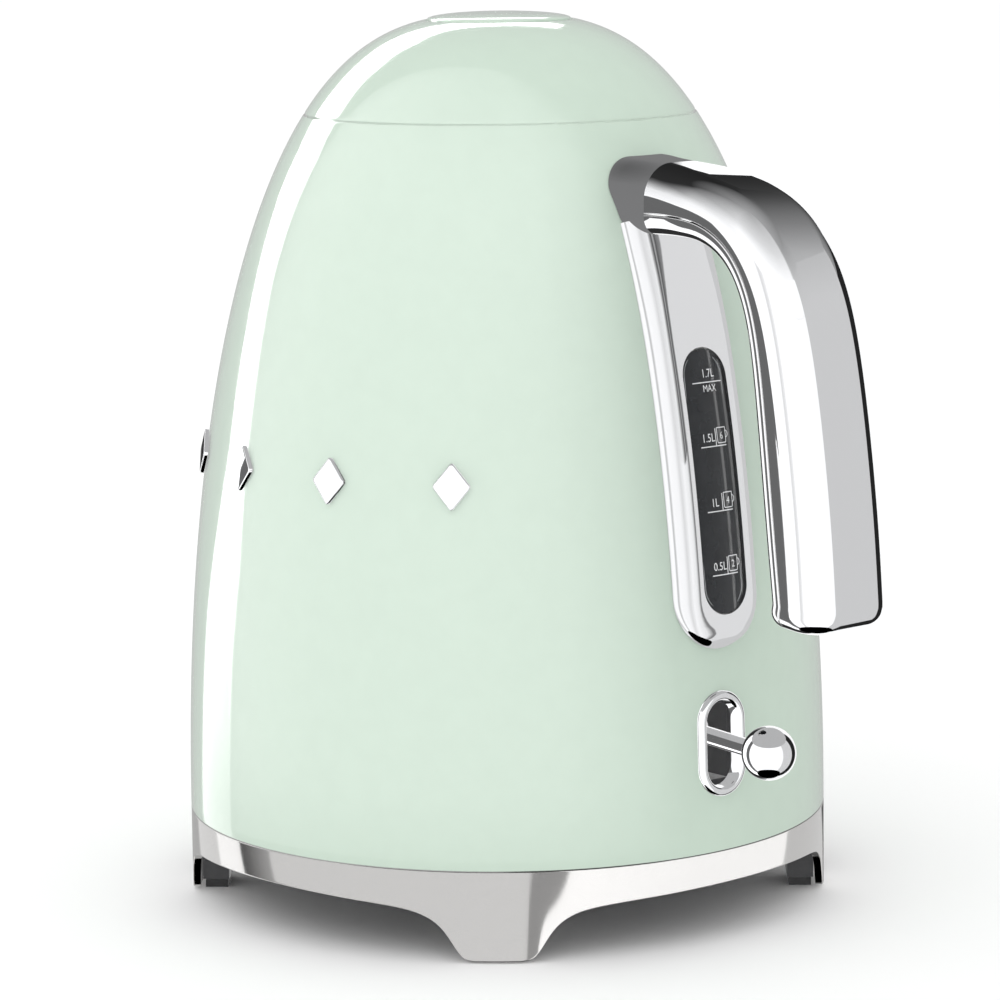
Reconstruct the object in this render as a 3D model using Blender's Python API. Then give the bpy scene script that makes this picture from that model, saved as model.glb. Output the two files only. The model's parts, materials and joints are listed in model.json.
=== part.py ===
"""A domed cordless kettle on a four-footed power base, as separate pieces. Metres, +Z up.

The base and the body are round about one upright axis. The handle is at +X and the spout at -X.
Outlines are (radius, height) pairs about that axis, and everything is parented to it.
"""

from math import asin, atan2, cos, exp, pi, radians, sin, sqrt

import bmesh
import bpy
from mathutils import Matrix, Vector

MM = 0.001

# Driving dimensions.
BODY_RADIUS = 90.1 * MM
BODY_BOTTOM = 25.4 * MM
DOME_HEIGHT = 222.06 * MM
DOME_RISE, DOME_ROUND = 2.08, 2.87  # exponents of the superellipse that the dome turns
TOTAL_HEIGHT = 248.0 * MM
SHELL_WALL = 1.2 * MM
GAP = 0.35 * MM  # air between two pieces that meet

RING_TOP = BODY_BOTTOM - 0.45 * MM
RING_WALL = 2.2 * MM
FOOT_BOTTOM = 0.6 * MM
FOOT_HALF_ANGLE = 6.5  # degrees
ARCH_RISE, ARCH_TURN = 13.05 * MM, 2.9  # the ring's lower edge beside a foot
ARCH_SWELL = 2.6 * MM  # the slow rise from there to the middle between two feet
FOOT_ANGLES = (48.2, 138.2, 228.2, 318.2)

SEAM_HEIGHT = 220.0 * MM  # between body and lid
MOUTH_RADIUS = 54.6 * MM
SKIRT_RADIUS, SKIRT_BOTTOM = 54.2 * MM, 216.8 * MM
BUTTON_RADIUS = 20.0 * MM
LID_HINGE = Vector((44.9, 0, 223.0)) * MM
PIN_RADIUS = 1.5 * MM
PIN_HOLE = 1.6 * MM

HANDLE_HALF_WIDTH = 15.2 * MM
HANDLE_OUTER = ((56, 211.4), (88.7, 209), (107, 203.7), (119, 195), (128.4, 180), (134.6, 155.8),
                (139.4, 122), (141.4, 97.5))
HANDLE_INNER = ((56, 190.2), (85.5, 192), (98.5, 189.8), (107.4, 183.2), (113.1, 171), (116.2, 151.8),
                (119.6, 122), (122.4, 99.5))
HANDLE_LINING = 5.5 * MM
HANDLE_TAPER, HANDLE_FLARE = 2.0 * MM, 1.8 * MM  # narrower towards the root, then wider on the body
HANDLE_TIP = 6.4 * MM
HANDLE_REACH = 141.4 * MM

TRIM_HALF_WIDTH, RIDGE_HALF_WIDTH, RIDGE = 14.3 * MM, 11 * MM, 4.5 * MM
TRIM_BOTTOM, TRIM_TOP = 80.6 * MM, 189.2 * MM
WINDOW_HALF_WIDTH = 7.7 * MM
WINDOW_BOTTOM, WINDOW_TOP = 89.9 * MM, 160.2 * MM

SLOT_HALF_WIDTH, SLOT_BOTTOM, SLOT_TOP = 5.8 * MM, 42.9 * MM, 66.6 * MM
SWITCH_PIVOT = Vector((76, 0, 56.5)) * MM
KNOB_CENTRE = Vector((108.1, 0, 55.0)) * MM
KNOB_RADIUS = 7.3 * MM

GLAND_PLACE, GLAND_REACH = Vector((-78, 0, 9.2)) * MM, Vector((20, 0, 0)) * MM
PLATE_HEIGHT = 74.0 * MM  # the heated floor of the water chamber
BADGE_ANGLES, BADGE_HEIGHT = (-49.4, -73.4, -97.2, -121.1), 127.5 * MM
AXIS_X = (BODY_RADIUS - HANDLE_REACH) / 2  # sets the origin under the middle of the object's box

ROUND, INSIDE, SMALL = 40, 24, 12  # sides of the outer turned pieces, those inside, and the small ones

MATERIALS = {
    "mint_paint": ((0.60, 0.78, 0.66), 0.12, 0.0),
    "chrome": ((0.80, 0.80, 0.81), 0.06, 1.0),
    "steel": ((0.62, 0.62, 0.63), 0.28, 1.0),
    "black_plastic": ((0.02, 0.02, 0.022), 0.42, 0.0),
    "grey_plastic": ((0.16, 0.16, 0.17), 0.35, 0.0),
    "smoked_plastic": ((0.05, 0.055, 0.06), 0.08, 0.0),
    "brass": ((0.72, 0.53, 0.22), 0.3, 1.0),
    "silicone": ((0.75, 0.76, 0.75), 0.6, 0.0),
    "rubber": ((0.03, 0.03, 0.03), 0.8, 0.0),
}


# Scene and object helpers.

def clear_scene():
    for thing in list(bpy.data.objects):
        bpy.data.objects.remove(thing, do_unlink=True)


def material(name):
    found = bpy.data.materials.get(name)
    if found:
        return found
    colour, roughness, metallic = MATERIALS[name]
    made = bpy.data.materials.new(name)
    made.use_nodes = True
    shader = made.node_tree.nodes["Principled BSDF"]
    shader.inputs["Base Color"].default_value = (*colour, 1)
    shader.inputs["Roughness"].default_value = roughness
    shader.inputs["Metallic"].default_value = metallic
    return made


def add(name, mesh, look, origin=(0, 0, 0)):
    """Make the bmesh an object on the kettle's axis, with its origin at the given point."""
    origin = Vector(origin)
    bmesh.ops.translate(mesh, verts=mesh.verts, vec=-origin)
    bmesh.ops.recalc_face_normals(mesh, faces=mesh.faces)
    data = bpy.data.meshes.new(name)
    mesh.to_mesh(data)
    mesh.free()
    data.shade_smooth()
    data.set_sharp_from_angle(angle=radians(35))
    thing = bpy.data.objects.new(name, data)
    bpy.context.scene.collection.objects.link(thing)
    thing.location = origin
    thing.parent = bpy.data.objects["kettle_axis"]
    if look:
        data.materials.append(material(look))
    return thing


def boolean(thing, other, operation):
    """Cut or join with a helper, which is hidden and left out of the model."""
    other.hide_render = True
    other.display_type = "WIRE"
    step = thing.modifiers.new(other.name, "BOOLEAN")
    step.operation = operation
    step.object = other
    step.solver = "EXACT"


def cut(thing, cutter):
    boolean(thing, cutter, "DIFFERENCE")


def join(thing, other):
    boolean(thing, other, "UNION")


# Mesh helpers. Each returns a bmesh.

def turned(outline, sides=INSIDE):
    """Turn a closed outline of (radius, height) points about Z. A radius of 0 closes the shape there."""
    mesh = bmesh.new()
    rings = []
    for radius, height in outline:
        if radius < 1e-7:
            rings.append([mesh.verts.new((0, 0, height))])
            continue
        turns = [2 * pi * side / sides for side in range(sides)]
        rings.append([mesh.verts.new((radius * cos(t), radius * sin(t), height)) for t in turns])
    open_ends = len(rings[0]) == 1 and len(rings[-1]) == 1
    pairs = list(zip(rings, rings[1:])) + ([] if open_ends else [(rings[-1], rings[0])])
    for low, high in pairs:
        for side in range(sides):
            after = (side + 1) % sides
            if len(low) == 1:
                mesh.faces.new((low[0], high[side], high[after]))
            elif len(high) == 1:
                mesh.faces.new((low[side], low[after], high[0]))
            else:
                mesh.faces.new((low[side], low[after], high[after], high[side]))
    return mesh


def lofted(sections):
    """Skin a row of closed sections with equally many points, and close both ends."""
    mesh = bmesh.new()
    rings = [[mesh.verts.new(point) for point in section] for section in sections]
    count = len(rings[0])
    for low, high in zip(rings, rings[1:]):
        for side in range(count):
            after = (side + 1) % count
            mesh.faces.new((low[side], low[after], high[after], high[side]))
    mesh.faces.new(rings[0][::-1])
    mesh.faces.new(rings[-1])
    caps = [face for face in mesh.faces if len(face.verts) > 4]
    bmesh.ops.scale(mesh, verts=mesh.verts, vec=Vector((1, 1, 1)) / MM)  # small caps fold if filled in metres
    bmesh.ops.triangulate(mesh, faces=caps, ngon_method="EAR_CLIP")
    bmesh.ops.scale(mesh, verts=mesh.verts, vec=Vector((1, 1, 1)) * MM)
    return mesh


def box(low, high):
    """A block between two corners, given in millimetres."""
    (x0, y0, z0), (x1, y1, z1) = low, high
    plan = ((x0, y0), (x1, y0), (x1, y1), (x0, y1))
    return lofted([[Vector((x, y, z)) * MM for x, y in plan] for z in (z0, z1)])


def rod(start, end, radius, sides=SMALL):
    """A round bar between two points."""
    start, end = Vector(start), Vector(end)
    turn = (end - start).to_track_quat("Z", "X").to_matrix()
    circle = [Vector((cos(a), sin(a), 0)) * radius for a in (2 * pi * s / sides for s in range(sides))]
    return lofted([[centre + turn @ point for point in circle] for centre in (start, end)])


def merged(*meshes):
    """Put several bmeshes that don't touch each other into one, for use as a cutter."""
    whole = bmesh.new()
    for mesh in meshes:
        data = bpy.data.meshes.new("step")
        mesh.to_mesh(data)
        mesh.free()
        whole.from_mesh(data)
        bpy.data.meshes.remove(data)
    return whole


def plate_xz(outline, half_thickness):
    """A flat plate standing in the XZ plane, from its outline in millimetres."""
    return lofted([[Vector((x * MM, side * half_thickness, z * MM)) for x, z in outline] for side in (-1, 1)])


def arc(centre, radius, start, end, steps):
    """Points on a circle between two angles in degrees."""
    angles = [radians(start + (end - start) * step / steps) for step in range(steps + 1)]
    return [(centre[0] + radius * cos(a), centre[1] + radius * sin(a)) for a in angles]


def spline(points, steps):
    """A smooth curve through 2-D points, as a Catmull-Rom spline."""
    ends = [points[0]] + list(points) + [points[-1]]
    curve = []
    for before, start, end, after in zip(ends, ends[1:], ends[2:], ends[3:]):
        for step in range(steps):
            t = step / steps
            curve.append(tuple(
                0.5 * (2 * b + (c - a) * t + (2 * a - 5 * b + 4 * c - d) * t**2
                       + (3 * b - a - 3 * c + d) * t**3)
                for a, b, c, d in zip(before, start, end, after)
            ))
    return curve + [tuple(points[-1])]


# The dome that body and lid share.

def dome_radius(height):
    rise = (height - BODY_BOTTOM) / DOME_HEIGHT
    return BODY_RADIUS * (1 - rise**DOME_RISE) ** (1 / DOME_ROUND)


def dome_height(radius):
    return BODY_BOTTOM + DOME_HEIGHT * (1 - (radius / BODY_RADIUS) ** DOME_ROUND) ** (1 / DOME_RISE)


def dome_point(height, inset=0.0):
    """(radius, height) at a distance under the dome's surface."""
    step = 0.05 * MM
    low, high = max(height - step, BODY_BOTTOM), height + step
    slope = (dome_radius(high) - dome_radius(low)) / (high - low)
    length = sqrt(1 + slope**2)
    return dome_radius(height) - inset / length, height + inset * slope / length


def dome_curve(low, high, steps, inset=0.0):
    """Points up the dome between two heights, closer together where it curves more."""
    turn = [asin(((z - BODY_BOTTOM) / DOME_HEIGHT) ** (DOME_RISE / 2)) for z in (low, high)]
    spots = [turn[0] + (turn[1] - turn[0]) * step / steps for step in range(steps + 1)]
    return [dome_point(BODY_BOTTOM + DOME_HEIGHT * sin(t) ** (2 / DOME_RISE), inset) for t in spots]


def on_front(height, across, proud):
    """A point over the dome at the handle's side, a distance proud of it and off to one side."""
    radius, level = dome_point(height, -proud)
    fall = dome_radius(height) - sqrt(dome_radius(height) ** 2 - across**2)
    return Vector((radius - fall, across, level))


# The power base.

def ring_lower_edge(angle):
    """Height of the ring's lower edge, at an angle in degrees from the middle of a foot."""
    past = angle - FOOT_HALF_ANGLE
    if past <= 0:
        return FOOT_BOTTOM
    swell = ARCH_SWELL * sin(radians(90 * past / (45 - FOOT_HALF_ANGLE)))
    return FOOT_BOTTOM + ARCH_RISE * (1 - exp(-past / ARCH_TURN)) + swell


def make_base_ring():
    """The metal ring: an upright band whose lower edge arches between four feet, with a lip at its top."""
    half = (0, 3.6, 5.9, FOOT_HALF_ANGLE, 7, 7.8, 9, 10.8, 13.5, 17, 22, 28, 34, 39.5, 45)
    offsets = [-a for a in half[:0:-1]] + list(half[:-1])
    lip = 7 * MM
    sections = []
    for foot in FOOT_ANGLES:
        for offset in offsets:
            turn = radians(foot + offset)
            low = ring_lower_edge(abs(offset))
            corner = 0.4 * MM
            outer, inner = BODY_RADIUS, BODY_RADIUS - RING_WALL
            profile = (
                (outer - corner, low), (outer, low + corner), (outer, RING_TOP - corner),
                (outer - corner, RING_TOP), (outer - lip, RING_TOP),
                (outer - lip, RING_TOP - RING_WALL / 2), (inner, RING_TOP - RING_WALL / 2), (inner, low),
            )
            sections.append([Vector((r * cos(turn), r * sin(turn), z)) for r, z in profile])
    mesh = bmesh.new()
    columns = [[mesh.verts.new(point) for point in section] for section in sections]
    for here, there in zip(columns, columns[1:] + columns[:1]):
        for row in range(len(here)):
            after = (row + 1) % len(here)
            mesh.faces.new((here[row], there[row], there[after], here[after]))
    return add("base_ring", mesh, "steel")


def make_base_deck():
    """The black top of the base, inside the ring's lip, with the hole for the connector."""
    edge, hole = 82.6, 19.6
    outline = ((hole, 20), (edge, 20), (edge, 24.2), (30, 24.2), (26, 23.2), (hole, 23.2))
    return add("base_deck", turned([(r * MM, z * MM) for r, z in outline]), "black_plastic")


def make_base_floor():
    """The underside: a shallow tray whose four legs stand behind the metal feet."""
    tray = add("base_floor", turned([(r * MM, z * MM) for r, z in (
        (0, 14), (84, 14), (87.2, 17.3), (87.2, 23.2), (85.6, 23.2), (85.6, 19.6), (83, 16), (0, 16),
    )]), "black_plastic")
    for foot in FOOT_ANGLES:
        leg = add(f"leg_{foot}", box((79.5, -7, 2.6), (87, 7, 16.2)), None)
        leg.rotation_euler.z = radians(foot)
        join(tray, leg)
    join(tray, add("screw_bosses", upright_rods(15.5 * MM, 19.6 * MM, 4 * MM), None))
    cut(tray, add("screw_holes", upright_rods(10 * MM, 22 * MM, 1.9 * MM), None))
    join(tray, add("gland_boss", box((-81, -7, 4.6), (-64, 7, 14.8)), None))
    cut(tray, add("gland_hole", rod(GLAND_PLACE - GLAND_REACH, GLAND_PLACE + GLAND_REACH, 4 * MM), None))
    return tray


def upright_rods(low, high, radius):
    """A round bar between two heights at each base screw."""
    bottom, top = Vector((0, 0, low)), Vector((0, 0, high))
    return merged(*(rod(at + bottom, at + top, radius) for at in screw_places()))


def screw_places():
    """Points on the axis plane where the three base screws stand."""
    return [Vector((55 * cos(t), 55 * sin(t), 0)) * MM for t in (radians(90 + 120 * i) for i in range(3))]


def make_foot_pads():
    for number, foot in enumerate(FOOT_ANGLES, 1):
        pad = add(f"foot_pad_{number}", box((80, -6, 0), (86.4, 6, 2.2)), "rubber")
        pad.rotation_euler.z = radians(foot)


def make_base_screws():
    """Each screw has a flat head under the tray and a shank up into the deck's level."""
    outline = ((0, 12), (3.2, 12), (3.2, 13.6), (1.5, 13.6), (1.5, 19.4), (0, 19.4))
    for number, at in enumerate(screw_places(), 1):
        screw = add(f"base_screw_{number}", turned([(r * MM, z * MM) for r, z in outline], SMALL), "steel")
        screw.location = at


def make_base_connector():
    """The round plug that the kettle drops over: a stepped boss with a ring groove and a centre bore."""
    outline = ((3.4, 16.6), (19.2, 16.6), (19.2, 22), (17.6, 24), (17.6, 29), (16.4, 30), (13, 30), (13, 24),
               (10.6, 24), (10.6, 30), (9.6, 31), (3.4, 31))
    return add("base_connector", turned([(r * MM, z * MM) for r, z in outline]), "black_plastic")


def make_contact_pin():
    outline = ((0, 17), (2.9, 17), (2.9, 31.4), (2.4, 32.4), (0, 32.8))
    return add("contact_pin", turned([(r * MM, z * MM) for r, z in outline], SMALL), "brass")


def make_cord_gland():
    """The strain-relief bush under the tray, where a cord would pass below the ring's arch."""
    outline = ((1.8, -6), (3.9, -6), (4.7, -4.6), (4.7, -3.4), (3.65, -3.4), (3.65, 8), (1.8, 8))
    mesh = turned([(r * MM, z * MM) for r, z in outline], SMALL)
    bmesh.ops.rotate(mesh, cent=(0, 0, 0), matrix=Matrix.Rotation(radians(90), 3, "Y"), verts=mesh.verts)
    gland = add("cord_gland", mesh, "rubber")
    gland.location = GLAND_PLACE
    return gland


# The kettle's body and what stands inside it.

def make_outer_shell():
    """The painted dome wall, open at the bottom and at the mouth, with holes for what passes it."""
    top = dome_height(MOUTH_RADIUS)
    outside = dome_curve(BODY_BOTTOM, top, 11)
    inside = dome_curve(BODY_BOTTOM + 1 * MM, SEAM_HEIGHT - 2.6 * MM, 7, SHELL_WALL)
    inside[0] = (inside[0][0], BODY_BOTTOM)
    outline = outside + [(MOUTH_RADIUS, top - 1.7 * MM)] + inside[::-1]
    shell = add("outer_shell", turned(outline, ROUND), "mint_paint")
    cut(shell, add("window_hole", window_prism(WINDOW_HALF_WIDTH, -12 * MM, 12 * MM), None))
    wide = SLOT_HALF_WIDTH / MM
    cut(shell, add("spout_hole", spout_solid(0.4 * MM, -72, -54), None))
    hole = rounded_plate(80, 99, wide + 0.6, SLOT_BOTTOM / MM - 0.6, SLOT_TOP / MM + 0.6, wide + 0.6)
    cut(shell, add("switch_hole", hole, None))
    reach = Vector((9, 0, 0)) * MM
    holes = merged(*(rod(at - reach, at + reach, 2.6 * MM) for at in handle_screw_places()))
    cut(shell, add("handle_screw_holes", holes, None))
    return shell


def make_bottom_cover():
    """The black underside, with the recess that takes the connector."""
    outline = ((23, 25.8), (88.2, 25.8), (88.2, 31), (86.4, 31), (86.4, 27.8), (25, 27.8), (25, 30), (23, 30))
    cover = add("bottom_cover", turned([(r * MM, z * MM) for r, z in outline]), "black_plastic")
    holes = merged(*(rod(at + Vector((0, 0, 20 * MM)), at + Vector((0, 0, 30 * MM)), 1.9 * MM)
                     for at in screw_places()))
    cut(cover, add("cover_screw_holes", holes, None))
    return cover


def make_cover_screws():
    outline = ((0, 28.2), (1.5, 28.2), (1.5, 36), (3, 36), (3, 37.6), (0, 37.6))
    for number, at in enumerate(screw_places(), 1):
        screw = add(f"cover_screw_{number}", turned([(r * MM, z * MM) for r, z in outline], 12), "steel")
        screw.location = at


def make_kettle_connector():
    """The socket that turns freely over the base's plug: rings and a centre tube under one cap."""
    outline = ((0, 33.6), (10.9, 33.6), (10.9, 25), (12.7, 25), (12.7, 33.6), (20.2, 33.6), (20.2, 25.8),
               (22.4, 25.8), (22.4, 31), (24, 31), (24, 37.6), (0, 37.6))
    return add("kettle_connector", turned([(r * MM, z * MM) for r, z in outline]), "grey_plastic")


def make_thermostat():
    """The control block with its bimetal disc, between the connector and the heated plate."""
    block = add("thermostat_block", box((-26, -17, 38.2), (26, 17, 58)), "grey_plastic")
    join(block, add("bimetal_seat", rod(Vector((14, 0, 57)) * MM, Vector((14, 0, 63)) * MM, 9 * MM), None))
    return block


def make_heater():
    """The stainless floor of the water chamber, and the sheathed element brazed under it."""
    high = PLATE_HEIGHT / MM
    floor = ((0, high), (84.2, high), (84.2, high - 3), (85.4, high - 3), (85.4, high + 1.4), (0, high + 1.4))
    seal = ((85.8, high - 3), (86.6, high - 3), (86.6, high + 6), (85.8, high + 6))
    add("heater_plate", turned([(r * MM, z * MM) for r, z in floor]), "steel")
    add("plate_seal", turned([(r * MM, z * MM) for r, z in seal]), "silicone")
    sheath = turned([(r * MM, z * MM) for r, z in arc((58, high - 4), 3.6, 0, 315, 7)])
    ring = add("heating_element", sheath, "steel")
    cut(ring, add("element_gap", box((-70, -8, high - 12), (-40, 8, high)), None))


def make_neck_ring():
    """The collar inside the mouth, with the window that takes the latch."""
    rim = dome_curve(209.6 * MM, 217.2 * MM, 3, SHELL_WALL + 0.55 * MM)
    bore, wall = MOUTH_RADIUS + 0.2 * MM, 1.4 * MM
    under = rim[0][0] - 1.2 * MM, rim[0][1] - 0.6 * MM
    outline = rim + [(bore, rim[-1][1]), (bore, 206.6 * MM), (bore + wall, 206.6 * MM),
                     (bore + wall, 213.2 * MM), under]
    ring = add("neck_ring", turned(outline, ROUND), "grey_plastic")
    cut(ring, add("latch_window", box((-60, -6.5, 210.6), (-50, 6.5, 215.1)), None))


def make_hinge_bracket():
    """The gooseneck ear: a hook that snaps round the pin, an arm down, and a run out to the collar."""
    centre = (LID_HINGE.x / MM, LID_HINGE.z / MM)
    outline = arc(centre, 3.1, -60, 158, 8)
    outline += [(34.4, 213.4), (35.6, 208.4), (39, 206.2), (54.2, 206.2), (54.2, 210.2), (45, 210.6)]
    outline += [(39.4, 212.6), arc(centre, 3.1, -112, -60, 1)[0]]
    outline += arc(centre, PIN_HOLE / MM, -112, -420, 12)
    return add("hinge_bracket", plate_xz(outline, 2.6 * MM), "steel")


def hinge_bore():
    side = Vector((0, 20, 0)) * MM
    return rod(LID_HINGE - side, LID_HINGE + side, PIN_HOLE)


def make_hinge_pin():
    side = Vector((0, 7.6, 0)) * MM
    return add("hinge_pin", rod(LID_HINGE - side, LID_HINGE + side, PIN_RADIUS), "steel", LID_HINGE)


# The spout.

def spout_outline(x, margin):
    """One upright U-shaped section of the spout at x, in millimetres: (bottom, top, half width)."""
    t = (-x - 58) / (82 - 58)
    bottom = 180 + 21.5 * t**0.8 if t > 0 else 180
    top = 205.5 + 2.2 * max(t, 0)
    width = 15.5 - 11.5 * max(t, 0) ** 1.25
    return bottom - margin, top + margin, width + margin


def spout_section(x, margin=0.0, wall=0.0):
    """Points of one section: a solid shield shape, or an open channel where a wall is given."""
    bottom, top, width = spout_outline(x, margin / MM)
    turns = [radians(a) for a in range(-90, 91, 18)]
    curve = [(width * sin(a), top - (top - bottom) * max(cos(a), 0) ** 1.15) for a in turns]
    if wall:
        width -= wall / MM
        bottom += wall / MM
        curve += [(width * sin(a), top - (top - bottom) * max(cos(a), 0) ** 1.15) for a in turns[::-1]]
    return [Vector((x, y, z)) * MM for y, z in curve]


def spout_solid(margin, start, end):
    """The filled outline of the spout between two x values in millimetres, for cutting its way."""
    steps = 4
    return lofted([spout_section(start + (end - start) * s / steps, margin) for s in range(steps + 1)])


def make_spout():
    """The open beak that pours: a channel that narrows and rises to its lip, closed over at the wall."""
    stations = (-57.5, -62, -67, -72, -77, -80.4, -82)
    return add("spout", lofted([spout_section(x, 0, 1.3 * MM) for x in stations]), "chrome")


def make_spout_filter():
    """A slotted screen across the way from the water chamber to the spout."""
    screen = add("spout_filter", box((-56.6, -13.4, 182.6), (-55.2, 13.4, 203.6)), "grey_plastic")
    slots = merged(*(box((-60, y - 1.5, 184.6), (-50, y + 1.5, 201.6)) for y in (-10.4, -5.2, 0, 5.2, 10.4)))
    cut(screen, add("filter_slots", slots, None))
    return screen


# The handle, the water gauge under it and the switch.

def handle_half_width(reach):
    """Half the handle's width at a distance from the kettle's axis."""
    taper = min(max((90 * MM - reach) / (20 * MM), 0), 1)
    flare = min(max((72 * MM - reach) / (10 * MM), 0), 1)
    return HANDLE_HALF_WIDTH - HANDLE_TAPER * taper**2 * (3 - 2 * taper) + HANDLE_FLARE * flare**2


def handle_sections(near, far, corner):
    """Sections across the handle between two shares of its thickness, with round corners at one side."""
    inner, outer = spline(HANDLE_INNER, 3), spline(HANDLE_OUTER, 3)
    frames = [(Vector((i[0], 0, i[1])) * MM, Vector((o[0], 0, o[1])) * MM) for i, o in zip(inner, outer)]
    last_inner, last_outer = frames[-1]
    down = Vector((last_outer.x - 141.0 * MM, 0, -HANDLE_TIP))
    for fall, pinch in ((0.5, 0.02), (0.85, 0.09), (1.0, 0.20)):
        across = last_outer - last_inner
        frames.append((last_inner + down * fall + across * pinch, last_outer + down * fall - across * pinch))
    sections = []
    for number, (low, high) in enumerate(frames):
        across = high - low
        thick = across.length
        stop = thick if far is None else min(far, thick)
        ease = 1.0 if number < len(frames) - 3 else (0.985, 0.94, 0.84)[number - len(frames) + 3]
        half = handle_half_width(low.x) * ease
        near_r, stop_r = corner
        unit = across.normalized()
        points = []
        corners = ((1, stop, stop_r, 0), (-1, stop, stop_r, 90),
                   (-1, near, near_r, 180), (1, near, near_r, 270))
        for side, level, radius, turn in corners:
            radius = min(radius, (stop - near) * 0.92)
            toward = 1 if level == stop else -1
            for a in (0, 45, 90):
                ang = radians(turn + a)
                y = side * (half - radius) + radius * cos(ang)
                v = level - toward * radius + radius * sin(ang)
                points.append(low + unit * v + Vector((0, y, 0)))
        sections.append(points)
    return sections


def make_handle():
    """The open C of the handle: a metal outer shell and a thin lining along its inner side."""
    near = HANDLE_LINING + 0.5 * MM
    shell = add("handle_shell", lofted(handle_sections(near, None, (0.4 * MM, 10.5 * MM))), "chrome")
    lining = add("handle_lining", lofted(handle_sections(0, HANDLE_LINING, (5 * MM, 0.4 * MM))), "chrome")
    room = add("handle_root_room", dome_room(240 * MM, 24), None)
    cut(shell, room)
    cut(lining, room)
    back, forth = Vector((-9, 0, 0)) * MM, Vector((9.3, 0, 0)) * MM
    bores = merged(*(rod(at + back, at + forth, 1.9 * MM) for at in handle_screw_places()))
    cut(shell, add("handle_screw_bores", bores, None))


def dome_room(top, steps):
    """The dome's outline up to a height, a gap proud of its surface, for cutting what stands on it."""
    return turned([(0, BODY_BOTTOM)] + dome_curve(BODY_BOTTOM, top, steps, -GAP) + [(0, top)], ROUND)


def handle_screw_places():
    """Where the two screws pass the body's wall into the handle's root."""
    return [Vector((dome_radius(202.5 * MM), y * MM, 202.5 * MM)) for y in (-7, 7)]


def make_handle_screws():
    outline = ((0, -6.6), (3.1, -6.6), (3.1, -4.6), (1.5, -4.6), (1.5, 8.8), (0, 8.8))
    for number, place in enumerate(handle_screw_places(), 1):
        mesh = turned([(r * MM, z * MM) for r, z in outline], 12)
        bmesh.ops.rotate(mesh, cent=(0, 0, 0), matrix=Matrix.Rotation(radians(90), 3, "Y"), verts=mesh.verts)
        screw = add(f"handle_screw_{number}", mesh, "steel")
        screw.location = place


def stadium_half_width(height, half_width, bottom, top=None):
    """Half width at a height of an upright strip with a round bottom and, if a top is given, a round top."""
    below = bottom + half_width - height
    above = height - (top - half_width) if top else 0
    reach = max(below, above, 0)
    return sqrt(max(half_width**2 - reach**2, 0))


def strip_heights(half_width, bottom, top, round_top, steps=10):
    """Heights for a strip's sections, closer together at its round ends."""
    ends = [half_width * (1 - cos(radians(a))) for a in (6, 20, 35, 50, 65, 80, 90)]
    low = bottom + half_width
    high = top - half_width if round_top else top
    middle = [low + (high - low) * s / steps for s in range(1, steps)]
    tail = [top - e for e in ends[::-1]] if round_top else [top]
    return [bottom + e for e in ends] + middle + tail


def window_prism(half_width, inner, outer):
    """The window's round-ended outline, from one depth to another along the dome's normal."""
    bottom = WINDOW_BOTTOM + WINDOW_HALF_WIDTH - half_width
    top = WINDOW_TOP - WINDOW_HALF_WIDTH + half_width
    sections = []
    for height in strip_heights(half_width, bottom, top, True, 6):
        wide = stadium_half_width(height, half_width, bottom, top)
        sections.append([
            on_front(height, 0, proud) + Vector((0, side * wide, 0))
            for side, proud in ((-1, inner), (1, inner), (1, outer), (-1, outer))
        ])
    return lofted(sections)


def make_gauge_trim():
    """The metal strip under the handle: a ridge with sloping flanks, a round tip and the window's hole."""
    flank = TRIM_HALF_WIDTH - RIDGE_HALF_WIDTH
    columns = (-1, -0.5, 0, 0.5, 1)
    sections = []
    for height in strip_heights(TRIM_HALF_WIDTH, TRIM_BOTTOM, TRIM_TOP, False, 12):
        wide = stadium_half_width(height, TRIM_HALF_WIDTH, TRIM_BOTTOM)
        ridge = stadium_half_width(height, RIDGE_HALF_WIDTH, TRIM_BOTTOM + flank)
        rise = RIDGE if ridge > 0 else max(RIDGE * (height - TRIM_BOTTOM) / flank, 1.0 * MM)
        crest = max(ridge, wide * 0.3)
        crest_rise = rise if ridge > 0 else max(rise * 0.9, 0.9 * MM)
        under = [on_front(height, wide * c, GAP) for c in columns]
        over = [
            on_front(height, wide, 0.9 * MM),
            on_front(height, 0, crest_rise) + Vector((0, crest, 0)),
            on_front(height, 0, crest_rise) + Vector((0, -crest, 0)),
            on_front(height, -wide, 0.9 * MM),
        ]
        sections.append(under + over)
    trim = add("gauge_trim", lofted(sections), "chrome")
    cut(trim, add("trim_window", window_prism(WINDOW_HALF_WIDTH, -12 * MM, 12 * MM), None))
    return trim


def make_gauge():
    """The smoked window, which fills the trim's hole and passes the wall, and the seal round its back."""
    clear = 0.35 * MM
    add("gauge_window", window_prism(WINDOW_HALF_WIDTH - clear, -2.2 * MM, 3.9 * MM), "smoked_plastic")
    seal = add("gauge_seal", window_prism(WINDOW_HALF_WIDTH + 3 * MM, -4.6 * MM, -2.8 * MM), "silicone")
    cut(seal, add("seal_hole", window_prism(WINDOW_HALF_WIDTH - 2 * MM, -9 * MM, 9 * MM), None))


def rounded_plate(x_low, x_high, half_width, low, high, corner):
    """An upright plate across X with round corners, in millimetres."""
    outline = []
    for side, end, start in ((1, 1, 0), (-1, 1, 90), (-1, -1, 180), (1, -1, 270)):
        centre = (side * (half_width - corner), high - corner if end > 0 else low + corner)
        outline += arc(centre, corner, start, start + 90, 4)
    return lofted([[Vector((x, y, z)) * MM for y, z in outline] for x in (x_low, x_high)])


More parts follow.
